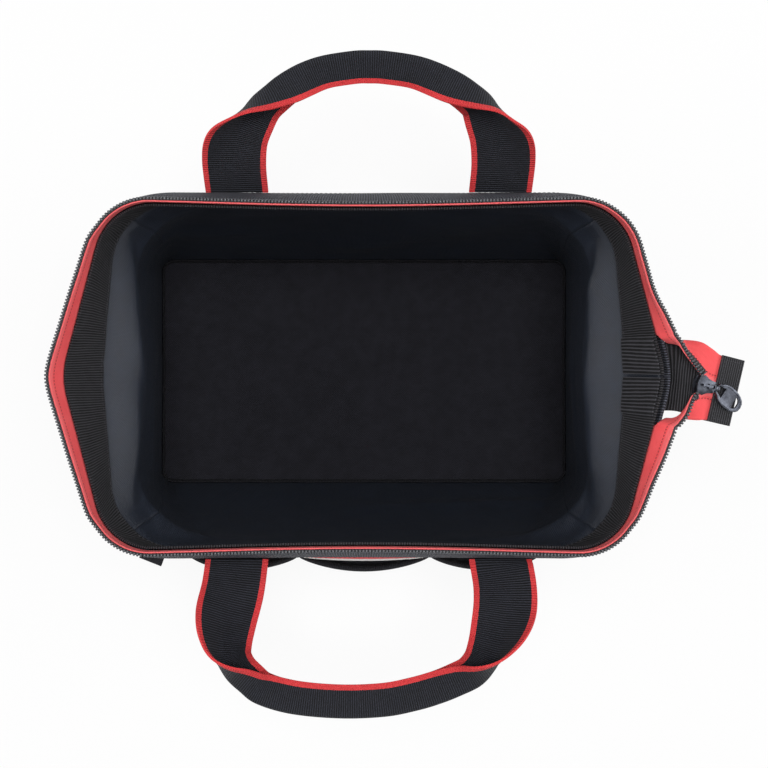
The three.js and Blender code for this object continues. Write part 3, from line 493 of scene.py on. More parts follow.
def merge_into(shape, template, matrix):
    """Adds a copy of a small mesh to a bmesh, moved by a matrix."""
    before = len(shape.verts)
    shape.from_mesh(template)
    shape.verts.ensure_lookup_table()
    bmesh.ops.transform(shape, matrix=matrix, verts=shape.verts[before:])


def flat_area(piece):
    return sum(face.area for face in piece.data.polygons)


print("cloth helpers ready")

# %% [markdown]
# ## Walls
#
# Each outer wall is one panel between two corner seams. Padded cloth never lies dead flat: it bows
# between its seams, and long soft creases run across it. Here the creases are low ridges along a
# few lines of each panel, and fine unevenness comes from smooth noise. At every corner seam the
# cloth dips, because the stitching pulls it in.

# %% Creases
PLACE_LENGTH = 9.0  # about how much skin there is to one place
# each crease: its two ends as place and height, its half width, and its height off the cloth
OUTER_CREASES = [
    ((6, 60), (13, 96), 9, 1.6), ((8, 160), (15, 138), 8, 1.2), ((27, 52), (33, 30), 9, 1.4),
    ((36, 150), (43, 146), 9, -0.9), ((17, 146), (23, 150), 9, -0.9),
    ((36, 70), (40, 40), 10, 1.3), ((18, 60), (22, 30), 10, 1.3), ((31, 158), (35, 170), 7, 1.0),
    ((5, 170), (9, 178), 7, 0.9),
]
LINING_CREASES = [
    ((16.4, 152), (23.6, 150), 9, 3.2), ((36.4, 150), (43.6, 152), 9, 3.2),
    ((7.0, 140), (9.6, 48), 12, 5.0), ((9.8, 66), (10.25, 30), 4, 2.6),
    ((12, 60), (15.5, 96), 10, 2.4), ((33.0, 138), (35.6, 156), 15, 5.0),
    ((24.6, 158), (27.2, 140), 13, 4.2), ((30, 60), (34, 44), 8, 1.8),
    ((17.4, 176), (20.4, 158), 5, 1.6), ((38, 158), (41.6, 172), 5, 1.8),
    ((42.4, 178), (43.2, 156), 4, 1.4), ((21, 92), (23.4, 60), 9, 1.8),
    ((37.2, 80), (41, 56), 9, 1.8), ((11.4, 150), (13.6, 168), 6, 1.6),
]


def ridge(place, z, crease):
    """How high one crease stands at a place."""
    first, last, half, height = crease
    start, end, here = (Vector((p * PLACE_LENGTH, h)) for p, h in (first, last, (place, z)))
    run = end - start
    share = clamped((here - start).dot(run) / run.length_squared)
    gap = (here - start - run * share).length
    fade = sin(pi * min(max(share, 0.04), 0.96)) ** 0.5
    return height * fade * exp(-((gap / half) ** 2))


def creased(place, z, creases, uneven):
    around = (place, place + 40, place - 40)
    total = sum(ridge(p, z, crease) for crease in creases for p in around)
    spot = skin(place, z)
    return total + uneven * noise.noise(spot / 38) + 0.4 * uneven * noise.noise(spot / 15)


def seam_pull(share, depth):
    """The dip beside the seams at both ends of a panel."""
    return -depth * exp(-((min(share, 1 - share) / 0.035) ** 2))


PANELS = {"back": (5, 15), "left_end": (15, 25), "front": (25, 35), "right_end": (35, 45)}
print("creases:", len(OUTER_CREASES) + len(LINING_CREASES))


# %% Outer walls
WALL_TOP = 217


def outer_lay(along, across, start, end, highest):
    place, z = mix(start, end, along), mix(1.9, WALL_TOP, across)
    calm = min(across / 0.06, (1 - across) / 0.18, 1)
    # deeper dips would uncover the foam
    lift = max(creased(place, z, OUTER_CREASES, 0.8) * calm, -0.8)
    return skin(place, z, min(lift, highest) + seam_pull(along, 0.9))


for side, ends in PANELS.items():
    highest = 0.5 if side == "front" else inf  # the pocket lies on the front wall
    wall = laid_grid(72, 64, outer_lay, *ends, highest)
    wall = add_piece(
        f"{side}_outer_cloth", wall, WALL_CLOTH, [f"{side}_wall"], thickness=1.2, offset=-1,
    )
print("outer cloth:", round(flat_area(wall), 3), "square metres at the last end")

# %% [markdown]
# ## Lining and floor
#
# The lining is a thinner, slightly shiny cloth. Under the band it hangs looser than the outer
# cloth, so its creases are deeper, and at both ends it hangs in as one soft fold that catches the
# light. The floor is a separate panel over a stiff board, sewn to the walls under a narrow
# binding, and it stays nearly flat.

# %% Lining
LINING_FOOT, LINING_HEIGHT = 6.3, 0.211  # the second is metres of cloth, up into the band
# the fold of the ends: how far it hangs in, at what height, and how many places it reaches
FOLD_DEPTH, FOLD_CREST, FOLD_REACH = 11, 168, 4.4


def end_fold(place, z):
    """How far an end's lining hangs in: most in its middle, under the band."""
    from_tip = min(abs(place - 20), abs(place % 40), 40 - place % 40) / FOLD_REACH
    if from_tip >= 1:
        return 0
    if z > FOLD_CREST:
        height = eased(184 - z, 0, 184 - FOLD_CREST)
    else:
        height = exp(-(((FOLD_CREST - z) / 15) ** 2))
    return FOLD_DEPTH * (1 - from_tip ** 4) * height


def lining_lay(along, across, start, end):
    place, z = mix(end, start, along), mix(LINING_FOOT, WALL_TOP, across)
    calm = min(across / 0.05, (1 - across) / 0.17, 1)
    sag = max(creased(place, z, LINING_CREASES, 1.0), -0.3) * calm
    depth = mix(-4.9, -2.1, eased(z, 178, 186))
    return skin(place, z, depth - sag - end_fold(place, z) + seam_pull(along, 0.8))


for side, ends in PANELS.items():
    lining = laid_grid(84, 72, lining_lay, *ends)
    lining = add_piece(
        f"{side}_inner_cloth", lining, LINING_CLOTH, [f"{side}_lining"], thickness=0.5, offset=-1,
    )
board_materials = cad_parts["base_board"].data.materials
board_materials.clear()
board_materials.append(BOARD)
print("lining laid")


# %% Foam between wall and lining
FOAM_FOOT, FOAM_TOP, FOAM_DEPTH = 6.4, 177.8, -3.0


def foam_lay(along, across, start, end):
    place = mix(mix(start, end, 0.02), mix(start, end, 0.98), along)
    z = mix(FOAM_FOOT, FOAM_TOP, across)
    return skin(place, z, FOAM_DEPTH + 0.12 * noise.noise(skin(place, z) / 12))


for side, ends in PANELS.items():
    foam = laid_grid(48, 40, foam_lay, *ends)
    foam = add_piece(f"{side}_foam_sheet", foam, FOAM, [f"{side}_padding"], thickness=2.2)
print("foam laid")


# %% Floor and base
FLOOR_Z, FLOOR_INSET = 6.0, 2.4  # its height, and how far inside the base's edge it ends


def base_point(share_x, share_y, z, inset):
    """A point of the base's rounded rectangle, from shares of -1 to 1."""
    half_x, half_y = BASE_SECTION[1] - inset, BASE_SECTION[2] - inset
    radius = BASE_SECTION[3] - inset * 0.5
    x, y = share_x * half_x, share_y * half_y
    over_x, over_y = abs(x) - (half_x - radius), abs(y) - (half_y - radius)
    if over_x > 0 and over_y > 0:
        pull = max(over_x, over_y) / hypot(over_x, over_y)
        x = copysign(half_x - radius + over_x * pull, x)
        y = copysign(half_y - radius + over_y * pull, y)
    return Vector((x, y, z))


def floor_lay(along, across):
    point = base_point(2 * along - 1, 2 * across - 1, FLOOR_Z, FLOOR_INSET)
    inside = max(1 - abs(2 * along - 1) ** 8, 0) * max(1 - abs(2 * across - 1) ** 8, 0)
    long_fold = 0.5 * exp(-((point.y + 52 + 0.05 * point.x) / 6) ** 2)
    cross_fold = 0.4 * exp(-((point.x - 96) / 7) ** 2)
    point.z += inside * (0.5 * noise.noise(point / 30) + (long_fold + cross_fold))
    return point


floor = add_piece(
    "floor_cloth", laid_grid(96, 56, floor_lay), FLOOR_CLOTH, ["floor_lining"],
    thickness=0.7, offset=-1,
)

# x and y change places here, so that the grid's outer side faces the ground
base = laid_grid(60, 36, lambda along, across: base_point(2 * across - 1, 2 * along - 1, 0.02, 0))
add_piece("base_cloth", base, WALL_CLOTH, ["base_panel"], thickness=1.5, offset=-1)
print("floor", [round(size, 3) for size in floor.dimensions])

# %% [markdown]
# ## Piping and bindings
#
# Piping is a cord wrapped in cloth and caught in the base seam. It is the same laid grid, with one
# of its two directions going round a circle and both ends welded. The floor's binding is a narrow
# tape folded over the raw edges of the seam inside.

# %% Piping and binding
PIPING_RADIUS = 1.6


def piping_lay(along, across):
    out, angle = outward(1.9, along * 40), tau * across
    round_cord = out * cos(angle) + Vector((0, 0, 1)) * sin(angle)
    return skin(along * 40, 2.0, 1.9) + round_cord * PIPING_RADIUS


def binding_lay(along, across):
    ripple = 0.25 * sin(along * 400)
    depth = -6.4 + ripple * across + 0.6 * sin(pi * across)
    return skin(40 - along * 40, mix(LINING_FOOT, 9.4, across), depth)


piping = laid_grid(240, 10, piping_lay, loop=True)
add_piece("base_cord_piping", piping, WALL_CLOTH, ["base_piping"])
binding = laid_grid(280, 6, binding_lay, loop=True)
add_piece("floor_seam_tape", binding, NARROW_WEBBING, ["floor_binding"], thickness=1.4)
print("piping and binding done")

# %% [markdown]
# ## Mouth bands
#
# A band of ribbed webbing goes round the mouth on the outside, and another on the inside, with the
# zip's tape held between their top edges. The inner band's two ends meet at the right end with a
# small gap. The bands pinch in where they are sewn through the tape, and lie a little uneven
# below.

# %% Bands
BAND_FOOT = 186
BAND_END = 0.07  # how far from the tip's place the inner band ends


def outer_band_lay(along, across):
    z, turn = mix(BAND_FOOT, RIM, across), along * tau
    sway = noise.noise(Vector((cos(turn) * 5, sin(turn) * 5, across)))
    depth = mix(1.5, 0.8, eased(z, WALL_TOP, RIM)) + 0.42 * sway * (1 - across)
    return skin(along * 40, z, depth)


def inner_band_lay(along, across):
    z, turn = mix(BAND_FOOT, RIM, across), along * 6.1
    sway = noise.noise(Vector((cos(turn) * 6, sin(turn) * 6, across)))
    depth = mix(-3.5, -2.85, eased(z, WALL_TOP, RIM)) - abs(0.7 * sway * (1 - across))
    return skin(mix(40 - BAND_END, BAND_END, along), z, depth)


# the outside band uses the paler finish, which is painted light
outer_band = add_piece(
    "mouth_band_outside", laid_grid(400, 14, outer_band_lay, loop=True), LIT_OUTER_BAND_WEBBING,
    ["rim_webbing_outer"], thickness=1.6, rounded=0.4,
)
add_piece(
    "mouth_band_inside", laid_grid(400, 14, inner_band_lay), BAND_WEBBING,
    ["rim_webbing_inner"], thickness=1.6, rounded=0.4,
)
print("bands", [round(size, 3) for size in outer_band.dimensions])


# %% Hems where the inner band's ends meet
SIDES = (("back", 1), ("front", -1))


def hem_lay(along, across, side):
    place, z = side * mix(BAND_END, 1.36, along), mix(186.6, 221.4, across)
    round_off = 0.5 * max(0, (along - 0.9) / 0.1) ** 2 + 0.4 * max(0, (0.06 - along) / 0.06)
    uneven = noise.noise(Vector((along * 3, across * 3, side)))
    wave = 0.35 * sin(pi * along) + 0.25 * uneven
    return skin(place % 40, z, mix(-5.3, -4.55, eased(z, 214, RIM)) + round_off - wave)


for name, side in SIDES:
    hem = laid_grid(28, 24, hem_lay, side)
    add_piece(f"inner_band_{name}_hem", hem, HEM_WEBBING, thickness=1.3, rounded=0.4)
print("hems done")

# %% [markdown]
# ## The zip's course
#
# One tape runs round the whole mouth. On the long sides it stands nearly upright, and at the ends
# it leans out. At the right end both of its ends leave the band, turn flat and come together as
# the closed tail. The course is a list of cross-sections, each with the sewn edge, the fold at the
# top of the band and the free edge, and a smooth curve runs through them.

# %% Zip course
TAPE_FOOT, TAPE_DEPTH, TAPE_OUT = 217.3, -1.05, 12.0
FOLD_SHARE = 5 / 17  # of the tape's 17 mm, 5 mm are sewn in the band
tail_frame = (
    Matrix.Translation((205, -5.5, 226)) @ Matrix.Rotation(radians(-13), 4, "Z")
    @ Matrix.Rotation(radians(20), 4, "Y")
)


def tail_point(x, y, z):
    return tail_frame @ Vector((x, y, z))


# how far the free edge leans out of the rim, at places round it
FLARES = [
    (0, 6.4), (1.3, 6.4), (1.65, 3.84), (2.1, 0), (5, -1), (16, -1), (18, 2.25), (20, 4.5),
    (22, 2.25), (24, -1), (36, -1), (37, 0.85), (37.5, 2.98), (38, 5.95), (38.6, 8.5), (40, 8.5),
]


def flare_at(place):
    index = max(i for i, (start, _) in enumerate(FLARES[:-1]) if start <= place)
    (start, low), (end, high) = FLARES[index:index + 2]
    return mix(low, high, (place - start) / (end - start))


def rim_station(place):
    rim, out, flare = skin(place, RIM, TAPE_DEPTH), outward(RIM, place), flare_at(place % 40)
    fold = Vector((rim.x, rim.y, RIM + 0.4))
    lean = Vector((out.x * flare, out.y * flare, sqrt(TAPE_OUT ** 2 - flare ** 2)))
    return [skin(place, TAPE_FOOT, TAPE_DEPTH), fold, fold + lean]


def free_station(sewn, edge):
    return [sewn, sewn.lerp(edge, FOLD_SHARE), edge]


# each arm of the tail: the place where it leaves the band, and its free sections' two edges
BACK_ARM = (1.35, [
    ((193, 21.8, 218.2), (192, 14.2, 229.4)), ((185.4, 20, 219.4), (188.2, 19.8, 231.6)),
])
FRONT_ARM = (1.5, [
    ((187.6, -26, 219), (192.4, -21.6, 229.4)), ((182.6, -25.6, 220.6), (187.4, -28, 230.6)),
])


def tail_stations(side):
    """From the cap back to the band, on the back (side 1) or the front (side -1) of the tail."""
    start, arm = BACK_ARM if side > 0 else FRONT_ARM
    lobe = 2.6 if side > 0 else 0  # the back side's sewn edge stands out rounder
    # on the tail: where the sewn edge lies, and the free edge's x and distance from the middle
    sewn_edge = [(20, 19.9, 0), (7, 19.9, 0), (0.6, 21.4 + lobe * 0.4, -1), (-6, 22.6 + lobe, -5.4)]
    free_edge = [(20, 2.9), (7, 2.9), (0.6, 2.9), (-6.8, 7.4)]
    _, fold, edge = rim_station(side * start % 40)

    def moved(point, x, y, z):
        return point + Vector((x, side * y, z))

    return [
        *[free_station(tail_point(x, side * y, z), tail_point(free_x, side * free_y, 0))
          for (x, y, z), (free_x, free_y) in zip(sewn_edge, free_edge)],
        *[free_station(Vector(sewn), Vector(free)) for sewn, free in arm],
        [moved(fold, 1.4, -1.6, 1.2), moved(fold, 1, -1.8, 2.6), moved(edge, 0.8, -2.2, 0)],
        [fold, moved(fold, 0, 0, 1), edge],
        rim_station(side * (start + 0.03) % 40),
    ]


ARM_PLACES = [1.65, 1.8, 2, 2.25, 2.5, 2.75]
side_places = [step / 2 for step in range(6, 75)]
rim_places = [*ARM_PLACES, *side_places, *[40 - place for place in reversed(ARM_PLACES)]]
zip_course = [
    *tail_stations(1), *[rim_station(place) for place in rim_places], *reversed(tail_stations(-1)),
]
zip_columns = [[station[j] for station in zip_course] for j in range(3)]
zip_last = len(zip_course) - 1
print("zip course of", len(zip_course), "cross-sections")

# %% [markdown]
# Even spacing along the free edge matters, because the teeth are a fixed distance apart. The edge
# is measured once in fine steps, and a lookup gives the position for any length along it.

# %% Zip lengths
FINE = 12
edge_points = [along_curve(zip_columns[2], i / FINE) for i in range(zip_last * FINE + 1)]
edge_run = running_length(edge_points)
zip_length = edge_run[-1]


def position_at(length):
    return sum(place_at(edge_run, length)) / FINE


def tape_point(position, across):
    """A point of the tape, from 0 at the sewn edge by FOLD_SHARE at the fold to 1 across."""
    sewn, fold, edge = (along_curve(column, position) for column in zip_columns)
    soft, free = 0.12, 1 - FOLD_SHARE
    if across < FOLD_SHARE - soft:
        return sewn.lerp(fold, across / FOLD_SHARE)
    if across > FOLD_SHARE + soft:
        return fold.lerp(edge, (across - FOLD_SHARE) / free)
    share = (across - FOLD_SHARE + soft) / (2 * soft)
    return bent(sewn.lerp(fold, 1 - soft / FOLD_SHARE), fold, fold.lerp(edge, soft / free), share)


def tape_lay(along, across):
    return tape_point(position_at(along * zip_length), across)


tape = laid_grid(720, 16, tape_lay)
add_piece("zip_tape_cloth", tape, RED_TAPE, ["zip_tape"], thickness=0.75)
print("zip tape", round(zip_length), "mm long")

# %% [markdown]
# ## Teeth
#
# This zip's teeth are one nylon coil, sewn on the outer face of the tape. Each turn is two slanted
# strands that meet in a rounded head past the tape's edge, so the teeth look like a row of arrows
# from the side and of prongs from the end. One turn is modelled with a few bevelled boxes, and a
# copy of it is set every two millimetres. A cord runs through the coil and fills the gaps between
# its turns. It is painted near black, darker than the coil, and that darkness is partly painted
# shade in those gaps. The heads have a paler finish than the strands, as a painted glint on each
# head.

# %% Tooth templates
TOOTH_PITCH = 2.0


def template_mesh(name, boxes, bevel):
    """A small mesh of bevelled boxes: each has its size, its middle and how far it slants."""
    shape = bmesh.new()
    for size, middle, slant in boxes:
        box = bmesh.ops.create_cube(shape, size=1)["verts"]
        bmesh.ops.scale(shape, vec=size, verts=box)
        bmesh.ops.translate(shape, vec=middle, verts=box)
        for point in box:
            point.co.x += slant * point.co.y
    bmesh.ops.bevel(shape, geom=shape.edges[:], offset=bevel, segments=1, profile=0.5,
                    affect="EDGES", material=-1)
    return mesh_of(name, shape)


strands = template_mesh("strands", [
    ((0.92, 3.3, 0.7), (0, -1.55, 2.3), 0.2), ((0.92, 3.3, 0.6), (0, -1.55, 1.5), -0.2),
], 0.2)
heads = template_mesh("heads", [((1.3, 1.5, 2.1), (0, 0.75, 1.62), 0.0)], 0.34)


# %% Teeth
def zip_frame(position):
    """A point of the free edge, and the directions along it, out past it and off the face."""
    fold, edge = zip_columns[1:]
    here = along_curve(edge, position)
    along = (along_curve(edge, min(position + 0.05, zip_last - 0.001))
             - along_curve(edge, max(position - 0.05, 0))).normalized()
    out = (here - along_curve(fold, position)).normalized()
    face = along.cross(out).normalized()
    return here, along, face.cross(along).normalized(), face


def set_in(origin, along, out, face):
    """The matrix that sets a template, in millimetres, into the scene."""
    matrix = Matrix((along, out, face)).transposed().to_4x4()
    matrix.translation = origin
    return Matrix.Scale(MM, 4) @ matrix


first_step = round(2.75 * FINE)  # the open coil starts where the slider's mouth is
first_tooth, last_tooth = edge_run[first_step], edge_run[-1 - first_step]
tooth_count = round((last_tooth - first_tooth) / TOOTH_PITCH)
tooth_lengths = [mix(first_tooth, last_tooth, i / tooth_count) for i in range(tooth_count + 1)]
tooth_frames = [zip_frame(position_at(length)) for length in tooth_lengths]
# the heads get the paler finish, a painted glint
for name, template, finish in (("strands", strands, COIL), ("heads", heads, COIL_HEADS_PAINTED_GLINT)):
    row = bmesh.new()
    for tooth_frame in tooth_frames:
        merge_into(row, template, set_in(*tooth_frame))
    add_piece(f"zip_coil_{name}", row, finish, ["zip_teeth"])


def core_lay(along, across):
    here, _, out, face = zip_frame(position_at(mix(first_tooth, last_tooth, along)))
    return here + out * mix(-3.2, 0.3, across) + face * 1.3


# the cord's near-black finish is partly painted shade in the gaps between the turns
add_piece("zip_coil_core", laid_grid(640, 3, core_lay), COIL_CORE_WITH_PAINTED_SHADE, ["zip_teeth"], thickness=1.5)
print("teeth:", tooth_count + 1)

# %% Closed teeth of the tail
# the same strands, smaller and from both sides, each half a step behind the other
closed = bmesh.new()
for i in range(6):
    for side, shift, turn in ((1, 0.5, pi), (-1, 0, 0)):
        matrix = tail_frame @ Matrix.Translation((1.2 + i + shift, side * 1.3, -1.2))
        matrix = matrix @ Matrix.Rotation(turn, 4, "Z") @ Matrix.Diagonal((0.7, 0.42, 0.72, 1))
        merge_into(closed, strands, Matrix.Scale(MM, 4) @ matrix)
add_piece("zip_closed_teeth", closed, COIL, ["zip_tail_chain"])
print("closed teeth done")

# %% [markdown]
# ## Slider, link and pull
#
# The metal parts keep the solids' shape. A copy of each solid is merged, its flat faces are joined
# again, and a small bevel rounds every edge, because cast metal never has a sharp one and the
# highlights along the edges are what the eye reads as metal.

# %% Metal
for node, name, body, rounded in (
    ("slider_body", "zip_slider_cast", "zip_slider", 0.18),
    ("pull_link", "zip_pull_link", "zip_link", 0.08),
    ("pull_tab", "zip_pull_leaf", "zip_pull", 0.14),
):
    shape = bmesh.new()
    shape.from_mesh(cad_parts[node].data)
    bmesh.ops.remove_doubles(shape, verts=shape.verts, dist=1e-6)
    bmesh.ops.dissolve_limit(
        shape, angle_limit=radians(2), verts=shape.verts, edges=shape.edges,
    )
    add_piece(name, shape, GUNMETAL, [node], rounded=rounded, body=body, sharp=30)
print("metal done")

# %% [markdown]
# ## Tail strip and cap
#
# The strip is a length of webbing sewn to the outside of the band. It curves out under the slider
# and ends in the cap, which is the same webbing folded over the end of the zip.

# %% Tail strip and cap
STRIP_OUT = 3.9  # how far outside the skin the strip lies on the band
STRIP_ACROSS = (-20, -14, 0, 14, 20)
CAP_HALF = 20.4
CAP_PROFILE = [
    (6.6, 1.45), (12, 1.5), (21.4, 1.45), (22.6, 0.65), (23.1, -1.6), (22.6, -2.75),
    (21.4, -3.25), (14, -4.4), (6.6, -5.95),
]


def strip_rows():
    """The strip's cross-sections, from the band up and out to the cap."""
    def leg(z, reach):
        places = [max(-1.2, min(1.2, y / 14)) % 40 for y in STRIP_ACROSS]
        return [skin(place, z, STRIP_OUT) + Vector((reach, 0, 0)) for place in places]

    def under(x, y, z):
        return [Vector((x + 0.1 * across, y + across, z)) for across in STRIP_ACROSS]

    tip = skin(0, RIM, STRIP_OUT).x
    rows = [leg(202, 0), leg(211, 0), leg(215.4, 0.7)]
    rows += [under(tip + 3.2, -1.2, 218.3), under(tip + 9, -2.8, 220.1)]
    for x, z in ((0, -4.35), (6.6, -3.75), (19.6, -1.45)):
        rows.append([tail_point(x, y, z) for y in STRIP_ACROSS])
    return rows


strip = strip_rows()


def strip_lay(along, across):
    rows = [along_curve(row, across * (len(STRIP_ACROSS) - 1)) for row in strip]
    return along_curve(rows, along * (len(strip) - 1))


def profile_point(profile, share):
    """A point of the smooth curve through a profile of flat points."""
    return along_curve([Vector((*point, 0)) for point in profile], share * (len(profile) - 1)).xy


def cap_lay(along, across):
    x, z = profile_point(CAP_PROFILE, along)
    return tail_point(x, mix(-CAP_HALF, CAP_HALF, across), z)


for node, columns, lay in (("tail_strip", 60, strip_lay), ("tail_cap", 44, cap_lay)):
    add_piece(
        f"{node}_webbing", laid_grid(columns, 24, lay), BAND_WEBBING, [node], thickness=1.4,
        rounded=0.35,
    )
print("tail done")

# %% [markdown]
# ## Handles
#
# Each handle is one length of webbing. It is flat where it leaves its foot, and then its outer
# half rises and folds over the inner half, so the grip is double and both red edges lie together
# on the inside. The fold angle grows smoothly along the webbing from nothing to a half turn. A
# bend of fixed radius joins the two halves, so the webbing keeps its width at every angle.

# %% Handle shape
HANDLE_X, SPACING, HANDLE_STEPS = 3.0, 84.0, 220
HINGE_Z, HINGE_Y = 184.3, 117.527
BEND = pi * 1.7 / 2  # half of the webbing that lies in the bend, whose radius is 1.7 when shut
FOLD_STARTS, FOLD_ENDS = 10, 121  # how far along the webbing from its foot
# the middle line of each handle, in parts of its half spacing and of its reach
BACK_LINE = [
    (-1, 0), (-1.006, 0.2), (-0.982, 0.39), (-0.916, 0.545), (-0.848, 0.66), (-0.758, 0.745),
    (-0.646, 0.83), (-0.499, 0.91), (-0.333, 0.965), (-0.119, 0.996), (0, 1), (0.12, 0.996),
    (0.339, 0.965), (0.515, 0.91), (0.681, 0.83), (0.805, 0.745), (0.889, 0.66), (0.933, 0.545),
    (0.984, 0.39), (1.006, 0.2), (1, 0),
]
FRONT_LINE = [
    (-1, 0), (-1.024, 0.149), (-1.024, 0.287), (-1.002, 0.425), (-0.968, 0.574), (-0.915, 0.697),
    (-0.814, 0.798), (-0.669, 0.862), (-0.519, 0.912), (-0.357, 0.952), (-0.12, 0.99),
    (0.214, 1), (0.57, 0.973), (0.822, 0.91), (0.948, 0.83), (1.044, 0.745), (1.101, 0.64),
    (1.103, 0.53), (1.073, 0.39), (1.024, 0.2), (1, 0),
]


def evenly(points, count):
    """Points at even distances along the smooth curve through some points, and its length."""
    fine = [along_curve(points, i / 20) for i in range(20 * (len(points) - 1) + 1)]
    run = running_length(fine)
    places = [place_at(run, run[-1] * i / count) for i in range(count + 1)]
    return [fine[index].lerp(fine[index + 1], share) for index, share in places], run[-1]


def handle_lay(along, across, side, turned, path, total, below):
    length, w = along * total, (across - 0.5) * HANDLE_WIDTH
    from_foot = min(length, total - length)
    fold = max(pi * eased(from_foot, FOLD_STARTS, FOLD_ENDS), 0.001)
    place = round(along * HANDLE_STEPS)
    here = path[place] - Vector((0, below * (1 - eased(from_foot, 0, 6))))
    ahead = path[min(place + 4, HANDLE_STEPS)] - path[max(place - 4, 0)]
    upright = Vector((0, 1 if along < 0.5 else -1))
    ahead = upright.lerp(ahead.normalized(), eased(from_foot, 0, 8))
    out = Vector((-ahead.y, ahead.x)).normalized()
    # across the webbing: the flat inner part, the bend, and the outer part at the fold's angle
    angle = fold * clamped((w + BEND) / (2 * BEND))
    radius, inner, outer = 2 * BEND / fold, min(w + BEND, 0), max(w - BEND, 0)
    shift = inner - BEND + radius * sin(angle) + outer * cos(fold)
    lift = radius * (1 - cos(angle)) + outer * sin(fold)
    lift += 0.35 * noise.noise(Vector((length / 22, w / 16, side * 3)))
    return turned @ Vector((here.x + out.x * shift, here.y + out.y * shift, lift))


# each handle: its tilt, its line, its reach, and how far its legs start below the hinge, so that
# no light shows above the feet
SHAPES = ((36, BACK_LINE, 93.9, 0.9), (20, FRONT_LINE, 97.1, 0.1))
for (name, side), (tilt, line, reach, below) in zip(SIDES, SHAPES):
    path, total = evenly([Vector((x * SPACING, y * reach)) for x, y in line], HANDLE_STEPS)
    turned = Matrix.Translation((HANDLE_X, side * HINGE_Y, HINGE_Z))
    if side < 0:
        turned = turned @ Matrix.Rotation(pi, 4, "Z")
    turned = turned @ Matrix.Rotation(radians(tilt), 4, "X")
    grid = laid_grid(HANDLE_STEPS, 28, handle_lay, side, turned, path, total, below)
    handle = add_piece(
        f"{name}_handle_webbing", grid, HANDLE_WEBBING, [f"{name}_handle"], thickness=1.6,
        rounded=0.35, body=f"{name}_handle",
    )
    print(f"{name} handle", [round(size, 3) for size in handle.dimensions])

# %% [markdown]
# ## Feet, pocket, patch and tab
#
# Below the band the handle webbing runs on down the wall, sewn flat. On the front it goes behind
# the pocket. The pocket is one panel that is longer than the wall behind it, sewn down in between,
# so it stands off in three round bays, and a folded webbing edge binds its top.

# %% Feet and patch
FOOT_TOP = 184.1
PATCH_FOOT, PATCH_PUFF = 154, 3.8


def foot_lay(along, across, x, side, bottom):
    place, z = x + (across - 0.5) * HANDLE_WIDTH, mix(bottom, FOOT_TOP, along)
    uneven = noise.noise(Vector((place / 9, z / 12, side)))
    return long_side(place, z, side, 1.6 + 0.15 * uneven)


for side_name, side, bottom in (("front", -1, 112.1), ("back", 1, 6.1)):
    for end, way in (("left", -1), ("right", 1)):
        foot = laid_grid(70, 20, foot_lay, HANDLE_X + way * SPACING, side, bottom)
        add_piece(
            f"{side_name}_{end}_foot_webbing", foot, HANDLE_WEBBING, [f"{side_name}_{end}_foot"],
            thickness=1.5, rounded=0.35,
        )


def patch_lay(along, across):
    puff = (sin(pi * clamped(along)) * sin(pi * clamped(across))) ** 0.5
    x, z = (along - 0.5) * PATCH_WIDTH, mix(PATCH_FOOT, PATCH_FOOT + PATCH_HEIGHT, across)
    return long_side(x, z, -1, 1.05 + PATCH_PUFF * puff)


patch = laid_grid(44, 14, patch_lay)
patch = add_piece("front_patch_cloth", patch, PATCH, ["front_patch"], thickness=0.5)
print("feet and patch done")

# %% Pocket
SEAMS = (-122, -44, 44, 122)
POCKET_TOP, POCKET_FOOT, BULGE_OUT = 150.0, 22.0, 10.0
BINDING_PROFILE = [
    (-0.7, 142.5), (-0.7, 147), (-0.6, 150), (0.6, 151.1), (1.9, 150), (1.9, 147), (1.9, 142.5),
]


def bay_lift(x):
    """0 at the pocket's seams and 1 in the middle of each bay."""
    for start, end in zip(SEAMS, SEAMS[1:]):
        if x <= end:
            return sin(pi * clamped((x - start) / (end - start))) ** 0.7
    return 0.0


def pocket_gap(x, z):
    """How far the pocket's inner face stands off the skin."""
    height = clamped((z - POCKET_FOOT) / (POCKET_TOP - POCKET_FOOT))
    sewn = 0.75 + 1.1 * eased(z, 134, 140)
    return sewn + BULGE_OUT * bay_lift(x) * sin(pi / 2 * height) ** 0.8


def pocket_lay(along, across):
    x, z = mix(SEAMS[0], SEAMS[-1], along), mix(POCKET_FOOT, POCKET_TOP, across)
    soft = 0.7 * bay_lift(x) * noise.noise(Vector((x / 24, z / 20, 4))) * sin(pi * across)
    return long_side(x, z, -1, pocket_gap(x, z) + 1.2 + soft)


def pocket_binding_lay(along, across):
    x = mix(-122.2, 122.2, along)
    depth, z = profile_point(BINDING_PROFILE, across)
    inside, under = min(max(x, SEAMS[0]), SEAMS[-1]), min(z, POCKET_TOP)
    point = long_side(inside, under, -1, pocket_gap(inside, under) + depth)
    return Vector((x, point.y, z))


pocket = add_piece(
    "front_pocket_cloth", laid_grid(132, 60, pocket_lay), WALL_CLOTH, ["front_pocket"],
    thickness=1.1, offset=-1,
)
edge = laid_grid(150, 18, pocket_binding_lay)
add_piece("front_pocket_edge", edge, NARROW_WEBBING, ["front_pocket_binding"], thickness=0.7)
print("pocket done")


# %% Corner tab
TAB_PLACE, TAB_Z, TAB_HALF = 26, 181, 7.5
TAB_PROFILE = [
    (0.4, -0.95), (4, -0.95), (8.05, -0.95), (8.72, -0.67), (9, 0), (8.72, 0.67), (8.05, 0.95),
    (4, 0.95), (0.4, 0.95),
]


def corner_tab_lay(along, across):
    out, (reach, lift) = outward(TAB_Z, TAB_PLACE), profile_point(TAB_PROFILE, along)
    point = skin(TAB_PLACE, TAB_Z, 0.3) + out * reach
    point += Vector((-out.y, out.x, 0)) * mix(-TAB_HALF, TAB_HALF, across)
    return point + Vector((0, 0, lift - 0.25 * reach))


